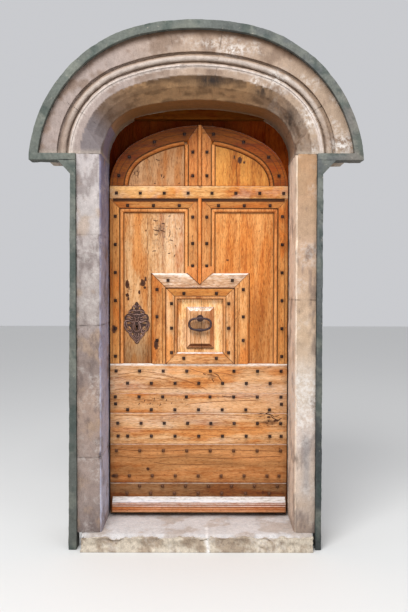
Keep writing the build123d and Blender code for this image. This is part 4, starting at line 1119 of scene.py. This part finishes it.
# Thin dark lines by the depth of their surface: dark joints, painted shade standing for grooves, and painted
# shadow lines along the edges of strips, beads and panels. Each is path, width, share of the tone
JOINT_AND_SHADOW_LINES = {
    SQUARE_FRONT_Y: (
        (((SQUARE_LEFT_X, SQUARE_TOP_Z), (BEAD_LEFT_X, BEAD_TOP_Z)), 0.0026, 0.16),
        (((SQUARE_RIGHT_X, SQUARE_TOP_Z), (BEAD_RIGHT_X, BEAD_TOP_Z)), 0.0022, 0.30),
        (upright(BEAD_LEFT_X - BEAD_WIDTH, LOWER_TOP_Z, BEAD_TOP_Z), 0.0030, 0.16),
        (upright(BEAD_RIGHT_X + BEAD_WIDTH, LOWER_TOP_Z, BEAD_TOP_Z), 0.0030, 0.16),
    ),
    INNER_FRONT_Y: (
        (upright(BEAD_LEFT_X, LOWER_TOP_Z, BEAD_TOP_Z), 0.0034, 0.10),
        (upright(BEAD_RIGHT_X, LOWER_TOP_Z, BEAD_TOP_Z), 0.0034, 0.10),
        (((BEAD_LEFT_X, BEAD_TOP_Z - 0.003), (BEAD_RIGHT_X, BEAD_TOP_Z - 0.003)), 0.0060, 0.08),
        (((BEAD_LEFT_X, BEAD_TOP_Z), (FIELD_LEFT_X - BEAD_WIDTH, FIELD_TOP_Z + BEAD_WIDTH)), 0.0024, 0.14),
        (((BEAD_RIGHT_X, BEAD_TOP_Z), (FIELD_RIGHT_X + BEAD_WIDTH, FIELD_TOP_Z + BEAD_WIDTH)), 0.0020, 0.25),
        (((BEAD_LEFT_X, LOWER_TOP_Z), (FIELD_LEFT_X, FIELD_FOOT_Z)), 0.0020, 0.30),
        (((BEAD_RIGHT_X, LOWER_TOP_Z), (FIELD_RIGHT_X, FIELD_FOOT_Z)), 0.0026, 0.12),
    ),
    LEAF_FRONT_Y: (
        (((-LEAF_HALF_WIDTH, RAIL_BOTTOM_Z), (-STRIP_INNER_X, STRIP_BOTTOM_Z)), 0.0020, 0.30),
        (((LEAF_HALF_WIDTH, RAIL_BOTTOM_Z), (STRIP_INNER_X, STRIP_BOTTOM_Z)), 0.0020, 0.40),
        (((RIDGE_LEFT_X, RAIL_BOTTOM_Z), (CENTRE_LEFT_X, STRIP_BOTTOM_Z)), 0.0020, 0.40),
        (((RIDGE_RIGHT_X, RAIL_BOTTOM_Z), (CENTRE_RIGHT_X, STRIP_BOTTOM_Z)), 0.0020, 0.30),
        (upright(RIGHT_SEAM_X, LOWER_TOP_Z, RAIL_BOTTOM_Z - 0.02), 0.0026, 0.22),
        (upright(LEFT_SEAM_X, LOWER_TOP_Z, RAIL_BOTTOM_Z - 0.02), 0.0020, 0.40),
        (upright(RIDGE_LEFT_X - 0.002, SQUARE_TOP_Z, RAIL_BOTTOM_Z), 0.0030, 0.14),
        (upright(RIDGE_RIGHT_X + 0.002, SQUARE_TOP_Z, RAIL_BOTTOM_Z), 0.0030, 0.14),
        (upright(RIDGE_LEFT_X - 0.002, RAIL_TOP_Z, RIDGE_TOP_Z), 0.0030, 0.14),
        (upright(RIDGE_RIGHT_X + 0.002, RAIL_TOP_Z, RIDGE_TOP_Z), 0.0034, 0.10),
    ),
    SIDE_BED_Y: (
        (upright(SQUARE_LEFT_X - 0.002, LOWER_TOP_Z, SQUARE_TOP_Z), 0.0050, 0.10),
        (upright(SQUARE_RIGHT_X + 0.002, LOWER_TOP_Z, SQUARE_TOP_Z), 0.0060, 0.10),
    ),
    LEAF_FRONT_Y - 0.002: (
        (((-LEAF_HALF_WIDTH, RAIL_TOP_Z - 0.0015), (LEAF_HALF_WIDTH, RAIL_TOP_Z - 0.0015)), 0.0022, 0.35),
    ),
}
joint_and_shadow_lines = [(front_y, *seam) for front_y, group in JOINT_AND_SHADOW_LINES.items() for seam in group]
for index, (front_y, path, width, share) in enumerate(joint_and_shadow_lines):
    run_seam(f"seam_{index}", dense(path), front_y, width, share)

# Pointed end of the centre strips, laid over the square's top strip
TONGUE_HALF_WIDTH = 0.070
TONGUE_POINT_Z = 1.369
TONGUE_ROOT_Z = 1.470
TONGUE_FRONT_Y = SQUARE_FRONT_Y - 0.0014
TONGUE_THICKNESS = 0.004
ridge_middle_x = (RIDGE_LEFT_X + RIDGE_RIGHT_X) / 2
for side, name in ((-1, "left"), (1, "right")):
    outer_x = ridge_middle_x + side * TONGUE_HALF_WIDTH
    levels = (
        (TONGUE_ROOT_Z, LEAF_FRONT_Y - 0.0001, outer_x),
        (SQUARE_TOP_Z + 0.004, TONGUE_FRONT_Y + 0.0004, outer_x),
        (SQUARE_TOP_Z, TONGUE_FRONT_Y, outer_x),
        ((SQUARE_TOP_Z + TONGUE_POINT_Z) / 2, TONGUE_FRONT_Y, ridge_middle_x + side * TONGUE_HALF_WIDTH / 2),
        (TONGUE_POINT_Z, TONGUE_FRONT_Y, ridge_middle_x + side * 0.0005),
    )
    grid = []
    tones = []
    for z, y, far_x in levels:
        across = (ridge_middle_x, (ridge_middle_x + far_x) / 2, far_x)
        front = [(x, y, z) for x in across]
        grid.append([*front, (far_x, y + TONGUE_THICKNESS, z), (ridge_middle_x, y + TONGUE_THICKNESS, z)])
        tones += [rgb(206, 132, 72)] * 5
    sheet_piece(f"tongue_{name}", grid, tones, "oak_upright", 20 + side)
    # Dark line along the tongue's edge: a joint with painted shadow, darker on the left
    edge = [(outer_x, SQUARE_TOP_Z + 0.001), (ridge_middle_x, TONGUE_POINT_Z)]
    run_seam(f"tongue_seam_{name}", edge, TONGUE_FRONT_Y, 0.0030, 0.14 if side < 0 else 0.4)

# Dark lines beside the ridge over the tongues: joints with painted shadow
for x in (RIDGE_LEFT_X - 0.002, RIDGE_RIGHT_X + 0.002):
    path = dense([(x, TONGUE_POINT_Z + 0.016), (x, TONGUE_ROOT_Z)])
    run_seam(f"ridge_seam_{round(1000 * x)}", path, TONGUE_FRONT_Y - 0.0002, 0.0030, 0.16)

# Faces and outlines of the boss
BOSS_LEFT_X = -0.068
BOSS_RIGHT_X = 0.084
BOSS_FOOT_Z = 1.019
BOSS_TOP_Z = 1.245
BOSS_BEVEL = 0.022
BOSS_PLINTH_Y = 0.2845
BOSS_FACE_Y = 0.2665


def boss_face(name, corners, tones):
    """Thin skin on one sloping side of the boss, carrying the side's painted light and shade: outer, inner,
    inner, outer corner.
    """
    lifted = 0.0004
    thick = 0.001
    outer_a, inner_a, inner_b, outer_b = corners
    grid = []
    middle_y = (BOSS_PLINTH_Y + BOSS_FACE_Y) / 2 - lifted
    for (outer_x, outer_z), (inner_x, inner_z) in ((outer_a, inner_a), (outer_b, inner_b)):
        grid.append(
            [
                (outer_x, BOSS_PLINTH_Y - lifted, outer_z),
                ((outer_x + inner_x) / 2, middle_y, (outer_z + inner_z) / 2),
                (inner_x, BOSS_FACE_Y - lifted, inner_z),
                (inner_x, BOSS_FACE_Y + thick, inner_z),
                (outer_x, BOSS_PLINTH_Y + thick, outer_z),
            ]
        )
    outer_tone, inner_tone = tones
    sheet_piece(name, grid, [outer_tone, *[inner_tone] * 3, outer_tone] * 2, "oak_upright", 31)


boss_inner = (
    (BOSS_LEFT_X + BOSS_BEVEL, BOSS_TOP_Z - BOSS_BEVEL),
    (BOSS_RIGHT_X - BOSS_BEVEL, BOSS_TOP_Z - BOSS_BEVEL),
    (BOSS_RIGHT_X - BOSS_BEVEL, BOSS_FOOT_Z + BOSS_BEVEL),
    (BOSS_LEFT_X + BOSS_BEVEL, BOSS_FOOT_Z + BOSS_BEVEL),
)
boss_outer = (
    (BOSS_LEFT_X, BOSS_TOP_Z),
    (BOSS_RIGHT_X, BOSS_TOP_Z),
    (BOSS_RIGHT_X, BOSS_FOOT_Z),
    (BOSS_LEFT_X, BOSS_FOOT_Z),
)
# Painted light and shade of the boss's sloping sides, outer and inner colour: the top and left painted lit,
# the right and the foot painted in shade
BOSS_LIGHT_AND_SHADE = {
    "top": (rgb(190, 176, 178), rgb(248, 232, 222)),
    "right": (rgb(206, 146, 100), rgb(180, 118, 76)),
    "foot": (rgb(214, 156, 110), rgb(110, 60, 26)),
    "left": (rgb(200, 142, 96), rgb(244, 194, 146)),
}
for index, (name, tones) in enumerate(BOSS_LIGHT_AND_SHADE.items()):
    after = (index + 1) % 4
    corners = (boss_outer[index], boss_inner[index], boss_inner[after], boss_outer[after])
    boss_face(f"boss_{name}", corners, tones)
# Dark outlines of the boss; the wide line under its foot is painted shadow
BOSS_OUTLINES_AND_SHADOW = (
    (upright(BOSS_LEFT_X, BOSS_FOOT_Z, BOSS_TOP_Z), BOSS_PLINTH_Y, 0.0030, 0.30),
    (upright(BOSS_RIGHT_X, BOSS_FOOT_Z, BOSS_TOP_Z), BOSS_PLINTH_Y, 0.0034, 0.26),
    ([(BOSS_RIGHT_X, BOSS_FOOT_Z - 0.002), (BOSS_LEFT_X, BOSS_FOOT_Z - 0.002)], BOSS_PLINTH_Y, 0.0080, 0.10),
    ([boss_inner[3], boss_inner[0]], BOSS_FACE_Y, 0.0020, 0.45),
    ([boss_inner[1], boss_inner[2]], BOSS_FACE_Y, 0.0020, 0.40),
    ([boss_inner[2], boss_inner[3]], BOSS_FACE_Y, 0.0024, 0.30),
)
for index, (path, front_y, width, share) in enumerate(BOSS_OUTLINES_AND_SHADOW):
    run_seam(f"boss_line_{index}", dense(path), front_y, width, share)

WEATHERBOARD_FRONT_Y = 0.2505
WEATHERBOARD_LEFT_X = -0.476
WEATHERBOARD_RIGHT_X = 0.482
# Lines for the weatherboard's beads, the darker ones painted shadow and the pale one painted highlight:
# height, width, depth, colour
WEATHERBOARD_LINES = (
    (0.1572, 0.0030, WEATHERBOARD_FRONT_Y - 0.0006, (120, 62, 34)),
    (0.1464, 0.0040, WEATHERBOARD_FRONT_Y - 0.0004, (132, 66, 30)),
    (0.1400, 0.0046, WEATHERBOARD_FRONT_Y - 0.0010, (226, 196, 180)),
    (0.1345, 0.0036, WEATHERBOARD_FRONT_Y - 0.0004, (150, 78, 36)),
    (0.1210, 0.0030, WEATHERBOARD_FRONT_Y - 0.0002, (176, 96, 44)),
)
for index, (z, width, front_y, colour) in enumerate(WEATHERBOARD_LINES):
    path = dense([(WEATHERBOARD_LEFT_X, z), (WEATHERBOARD_RIGHT_X, z)])
    run_seam(f"weatherboard_line_{index}", path, front_y, width, 1.0, rgb(*colour), True)


def smooth_path(points, steps=5):
    """Catmull-Rom curve through the points."""
    ends = [points[0], *points, points[-1]]
    curve = []
    for a, b, c, d in zip(ends, ends[1:], ends[2:], ends[3:]):
        for index in range(steps):
            t = index / steps
            point = []
            for p, q, r, s in zip(a, b, c, d):
                square = 2 * p - 5 * q + 4 * r - s
                cube = 3 * q - p - 3 * r + s
                point.append(0.5 * (2 * q + (r - p) * t + square * t * t + cube * t**3))
            curve.append(tuple(point))
    curve.append(points[-1])
    return curve


# Worm tracks and torn grain: x, z, length, tilt in degrees, width
MARKS = (
    (-0.240, 1.725, 0.026, -10, 0.0050),
    (-0.198, 1.707, 0.016, 0, 0.0050),
    (-0.236, 1.671, 0.034, -14, 0.0056),
    (-0.201, 1.664, 0.030, -18, 0.0056),
    (-0.237, 1.646, 0.020, 4, 0.0050),
    (-0.162, 1.748, 0.014, 8, 0.0050),
    (-0.164, 1.654, 0.046, 84, 0.0040),
    (-0.154, 1.613, 0.024, -14, 0.0050),
    (-0.130, 1.584, 0.008, 50, 0.0050),
    (-0.247, 1.554, 0.022, 6, 0.0044),
    (-0.165, 1.543, 0.016, 12, 0.0044),
    (-0.134, 1.529, 0.018, 70, 0.0044),
    (-0.122, 1.678, 0.006, 0, 0.0050),
    (-0.106, 1.678, 0.006, 0, 0.0050),
    (-0.222, 1.572, 0.007, 30, 0.0044),
    (-0.293, 1.668, 0.010, 80, 0.0060),
    (-0.228, 2.060, 0.026, -16, 0.0050),
    (-0.206, 1.972, 0.016, 76, 0.0056),
    (-0.196, 1.965, 0.018, 60, 0.0050),
    (-0.334, 1.976, 0.040, 80, 0.0044),
    (-0.358, 1.986, 0.026, 70, 0.0044),
    (-0.244, 1.928, 0.010, 0, 0.0050),
    (-0.110, 1.930, 0.010, 40, 0.0050),
    (0.400, 0.640, 0.050, -20, 0.0056),
    (0.424, 0.626, 0.044, -28, 0.0060),
    (0.452, 0.616, 0.030, 35, 0.0060),
    (0.380, 0.655, 0.026, 30, 0.0044),
    (0.350, 0.650, 0.030, 10, 0.0036),
    (0.436, 0.640, 0.026, 8, 0.0044),
    (-0.300, 0.722, 0.012, 70, 0.0044),
    (-0.270, 0.706, 0.012, 60, 0.0044),
    (-0.245, 0.734, 0.012, 80, 0.0044),
    (-0.215, 0.700, 0.016, 70, 0.0044),
    (-0.330, 0.704, 0.012, 60, 0.0044),
    (-0.180, 0.726, 0.012, 70, 0.0040),
    (-0.150, 0.708, 0.010, 60, 0.0040),
    (0.160, 0.750, 0.060, 0, 0.0040),
    (0.100, 0.866, 0.034, -30, 0.0044),
    (0.080, 0.838, 0.020, -60, 0.0044),
    (0.120, 0.842, 0.024, -50, 0.0044),
    (0.032, 0.872, 0.018, -30, 0.0040),
)


def front_of(x, z):
    """Depth of the wood's surface that is seen at a place of the leaf."""
    if z < LOWER_TOP_Z or abs(x) > STRIP_INNER_X or z > RAIL_TOP_Z and abs(x) < 0.07:
        return LEAF_FRONT_Y
    if z < SQUARE_TOP_Z and SQUARE_LEFT_X < x < SQUARE_RIGHT_X:
        return SQUARE_FRONT_Y
    return LEAF_FRONT_Y + PANEL_SINK


# Knots: x, z, half width, half height
KNOTS = (
    (-0.398, 1.369, 0.011, 0.024),
    (-0.397, 1.310, 0.010, 0.010),
    (-0.392, 1.290, 0.006, 0.010),
    (-0.312, 1.376, 0.014, 0.020),
    (-0.296, 1.398, 0.007, 0.014),
    (-0.300, 1.352, 0.008, 0.008),
    (-0.331, 1.326, 0.006, 0.012),
    (-0.470, 1.120, 0.013, 0.026),
    (-0.235, 1.036, 0.012, 0.026),
    (0.226, 2.058, 0.013, 0.018),
    (0.250, 2.046, 0.006, 0.008),
    (0.196, 2.074, 0.004, 0.012),
    (0.392, 0.632, 0.010, 0.006),
    (0.430, 0.612, 0.014, 0.006),
    (-0.474, 0.300, 0.014, 0.010),
    (-0.282, 0.340, 0.010, 0.008),
    (0.160, 1.505, 0.008, 0.004),
)

# Long dark lines of the grain on the lower planks: points of (x, z)
GRAIN_LINES = (
    ((-0.45, 0.866), (-0.32, 0.884), (-0.20, 0.870), (-0.05, 0.829), (0.045, 0.784)),
    ((-0.465, 0.848), (-0.37, 0.860), (-0.23, 0.848), (-0.12, 0.820)),
    ((-0.25, 0.870), (-0.18, 0.860), (-0.03, 0.820)),
    ((0.045, 0.884), (0.12, 0.878), (0.19, 0.866)),
    ((-0.465, 0.784), (-0.33, 0.789), (-0.12, 0.792)),
    ((-0.05, 0.902), (0.02, 0.880), (0.12, 0.852)),
    ((-0.085, 0.730), (0.02, 0.747), (0.14, 0.744), (0.285, 0.734)),
    ((-0.065, 0.703), (0.10, 0.718), (0.32, 0.725)),
    ((-0.47, 0.640), (-0.20, 0.640), (-0.05, 0.648), (0.275, 0.639)),
    ((-0.42, 0.567), (0.32, 0.558)),
    ((-0.05, 0.513), (0.04, 0.531), (0.23, 0.508)),
    ((-0.465, 0.413), (-0.28, 0.400), (-0.10, 0.409), (0.14, 0.400), (0.46, 0.413)),
    ((-0.25, 0.377), (-0.12, 0.364), (0.19, 0.370)),
    ((-0.47, 0.449), (-0.23, 0.440), (0.04, 0.449), (0.46, 0.440)),
)


for index, line in enumerate(GRAIN_LINES):
    colour = rgb(150, 92, 50) if line[0][1] > DARK_PLANKS_Z else rgb(120, 72, 38)
    run_seam(f"grain_line_{index}", smooth_path(line), LEAF_FRONT_Y, 0.0026, 1.0, colour, True)

KNOT_SIDES = 18
knots = bmesh.new()
knot_tones = []
for index, (x, z, half_width, half_height) in enumerate(KNOTS):
    y = front_of(x, z) - 0.0006
    centre = knots.verts.new((x, y - 0.0003, z))
    rim = []
    for step in range(KNOT_SIDES):
        turn = 2 * math.pi * step / KNOT_SIDES
        grown = 1 + 0.25 * cloud((math.cos(turn), index * 3.1, math.sin(turn)), 1.4, 3, 2)
        place = (x + half_width * grown * math.cos(turn), y, z + half_height * grown * math.sin(turn))
        rim.append(knots.verts.new(place))
    knot_tones += [rgb(52, 30, 20)] + [rgb(96, 58, 34)] * KNOT_SIDES
    for first, second in zip(rim, rim[1:] + rim[:1]):
        knots.faces.new((centre, first, second))
add_piece("knots", knots, "leaf", materials["oak_upright"], 6, knot_tones, crease=0)

marks = bmesh.new()
for index, (x, z, length, tilt, width) in enumerate(MARKS):
    turn = math.radians(tilt)
    along = Vector((math.cos(turn), math.sin(turn)))
    y = front_of(x, z) - 0.0005
    sides = ([], [])
    for share in (-0.5, -0.2, 0.2, 0.5):
        half = width / 2 * (1 - 1.6 * share * share)
        bend = 0.10 * length * (1 - 4 * share * share) * (1 if index % 2 else -1)
        middle = along * share * length + Vector((-along.y, along.x)) * bend
        for row, out in zip(sides, (-half, half)):
            row.append(marks.verts.new((x + middle.x - along.y * out, y, z + middle.y + along.x * out)))
    low, high = sides
    for step in range(len(low) - 1):
        marks.faces.new((low[step], low[step + 1], high[step + 1], high[step]))
marks.normal_update()
mark_tones = [rgb(74, 42, 26)] * len(marks.verts)
add_piece("worm_marks", marks, "leaf", materials["oak_upright"], 5, mark_tones, crease=0)

# Middle, half sizes and front of the escutcheon
ESCUTCHEON_PLACE = (-0.345, 1.155)
ESCUTCHEON_HALF_WIDTH = 0.070
ESCUTCHEON_HALF_HEIGHT = 0.117
ESCUTCHEON_FRONT_Y = 0.2935
# Raised scrolls on its one half: radius in metres, points in shares of the half sizes
RELIEF_CURVES = (
    (0.0046, [(0.95, 0.06), (0.98, -0.10), (0.86, -0.28), (0.66, -0.42), (0.48, -0.48), (0.36, -0.42)]),
    (0.0034, [(0.36, -0.42), (0.40, -0.32), (0.52, -0.32), (0.54, -0.40)]),
    (0.0036, [(0.80, 0.04), (0.82, -0.08), (0.70, -0.22), (0.56, -0.27)]),
    (0.0042, [(0.95, 0.06), (0.78, 0.12), (0.56, 0.08), (0.36, 0.03), (0.16, 0.06)]),
    (0.0036, [(0.86, 0.22), (0.64, 0.22), (0.46, 0.15), (0.30, 0.15)]),
    (0.0036, [(0.78, 0.34), (0.58, 0.33), (0.42, 0.26), (0.28, 0.24)]),
    (0.0040, [(0.66, 0.50), (0.46, 0.55), (0.22, 0.60), (0.0, 0.56)]),
    (0.0034, [(0.60, 0.42), (0.40, 0.44), (0.20, 0.38), (0.0, 0.42)]),
    (0.0036, [(0.36, 0.66), (0.30, 0.78), (0.14, 0.82), (0.08, 0.72)]),
    (0.0040, [(0.0, 0.64), (0.0, 0.94)]),
    (0.0036, [(0.12, 0.02), (0.26, -0.08), (0.28, -0.26), (0.16, -0.38), (0.0, -0.42)]),
    (0.0026, [(0.17, -0.02), (0.19, -0.14), (0.15, -0.28)]),
    (0.0040, [(0.62, -0.50), (0.44, -0.62), (0.24, -0.78), (0.0, -0.96)]),
    (0.0034, [(0.44, -0.54), (0.28, -0.64), (0.14, -0.76), (0.0, -0.82)]),
    (0.0030, [(0.0, -0.46), (0.0, -0.90)]),
    (0.0030, [(0.14, -0.48), (0.16, -0.58), (0.06, -0.70)]),
    (0.0034, [(0.22, 0.30), (0.10, 0.20), (0.12, 0.10), (0.0, 0.06)]),
    (0.0028, [(0.0, 0.36), (0.0, 0.10)]),
)


def bar_section(place, along, radius, sides):
    """Points round a bar that runs along a direction in the plane of the leaf."""
    x, y, z = place
    points = []
    for step in range(sides):
        turn = 2 * math.pi * step / sides
        out = radius * math.cos(turn)
        points.append((x - along.y * out, y + radius * math.sin(turn), z + along.x * out))
    return points


def add_tube(bm, path, radius, middle_y):
    """Tube with eight sides along a path of (x, z), thinner at its ends."""
    grid = []
    last = len(path) - 1
    for index, (x, z) in enumerate(path):
        along = (Vector(path[min(index + 1, last)]) - Vector(path[max(index - 1, 0)])).normalized()
        grid.append(bar_section((x, middle_y, z), along, radius * (0.55 if index in (0, last) else 1), 8))
    add_skin(bm, grid)


# Knocker ring: a squared oval bar with a knurled foot
RING_MIDDLE = (0.008, 1.151)
RING_HALF_WIDTH = 0.060
RING_HALF_DROP = 0.032
RING_SQUARENESS = 2.7
RING_BAR_RADIUS = 0.006
RING_Y = 0.2465
KNURL_SPREAD = 0.019
RING_STEPS = 96
RING_SIDES = 12


def ring_place(turn):
    """Point of the ring's middle line, on an oval drawn out towards its corners."""
    power = 2 / RING_SQUARENESS
    x = math.copysign(abs(math.cos(turn)) ** power, math.cos(turn))
    z = math.copysign(abs(math.sin(turn)) ** power, math.sin(turn))
    return Vector((RING_HALF_WIDTH * x, RING_HALF_DROP * z))


ring = bmesh.new()
hoops = []
for index in range(RING_STEPS):
    turn = 2 * math.pi * index / RING_STEPS
    place = ring_place(turn)
    along = (ring_place(turn + 0.02) - place).normalized()
    radius = RING_BAR_RADIUS
    if place.y < 0:
        knurl = 0.7 + 0.3 * math.cos(place.x / 0.0011)
        radius += 0.0038 * math.exp(-((place.x / KNURL_SPREAD) ** 2)) * knurl
    middle = (RING_MIDDLE[0] + place.x, RING_Y, RING_MIDDLE[1] + place.y)
    hoops.append(bar_section(middle, -along, radius, RING_SIDES))
add_skin(ring, hoops, capped=False)
iron = materials["wrought_iron"]
add_piece("knocker_ring_worn", ring, "ring", iron, 8, crease=180, node="knocker_ring")

relief = bmesh.new()
for radius, points in RELIEF_CURVES:
    for side in (-1, 1):
        route = []
        for x, z in smooth_path(points):
            place_x = ESCUTCHEON_PLACE[0] + side * x * ESCUTCHEON_HALF_WIDTH
            route.append((place_x, ESCUTCHEON_PLACE[1] + z * ESCUTCHEON_HALF_HEIGHT))
        add_tube(relief, route, radius, ESCUTCHEON_FRONT_Y - 0.001)
add_piece("escutcheon_relief", relief, "leaf", materials["relief_iron"], 3, crease=180)

# Floor, lights and camera
bpy.ops.mesh.primitive_plane_add(size=40, location=(0, 0, 0))
floor = bpy.context.object
floor.name = "floor"
floor_shade = Shader("floor")
floor.data.materials.append(floor_shade.finish(solid(228, 228, 226), 0.9))


def add_area(name, place, target, size, watts):
    light = bpy.data.lights.new(name, "AREA")
    light.energy = watts
    light.size = size
    lamp = bpy.data.objects.new(name, light)
    lamp.location = place
    lamp.rotation_euler = (Vector(target) - Vector(place)).to_track_quat("-Z", "Y").to_euler()
    bpy.context.scene.collection.objects.link(lamp)


add_area("key", (-1.0, -3.2, 5.4), (0, 0.1, 1.3), 2.2, 250)
add_area("fill", (3.0, -4.6, 2.0), (0, 0.1, 1.2), 3.0, 60)

world = bpy.data.worlds.new("studio")
bpy.context.scene.world = world
world.use_nodes = True
world.node_tree.nodes["Background"].inputs[0].default_value = (0.95, 0.96, 1.0, 1)
world.node_tree.nodes["Background"].inputs[1].default_value = 0.62

camera_data = bpy.data.cameras.new("camera")
camera_data.sensor_fit = "AUTO"
camera_data.sensor_width = 36
camera_data.lens = 36 * FOCAL_PIXELS / PHOTO_HEIGHT
camera = bpy.data.objects.new("camera", camera_data)
camera.location = CAMERA_PLACE
camera.rotation_euler = (math.radians(90 - PITCH_DEGREES), math.radians(-ROLL_DEGREES), 0)
bpy.context.scene.collection.objects.link(camera)
bpy.context.scene.camera = camera
bpy.context.scene.view_settings.view_transform = "Standard"
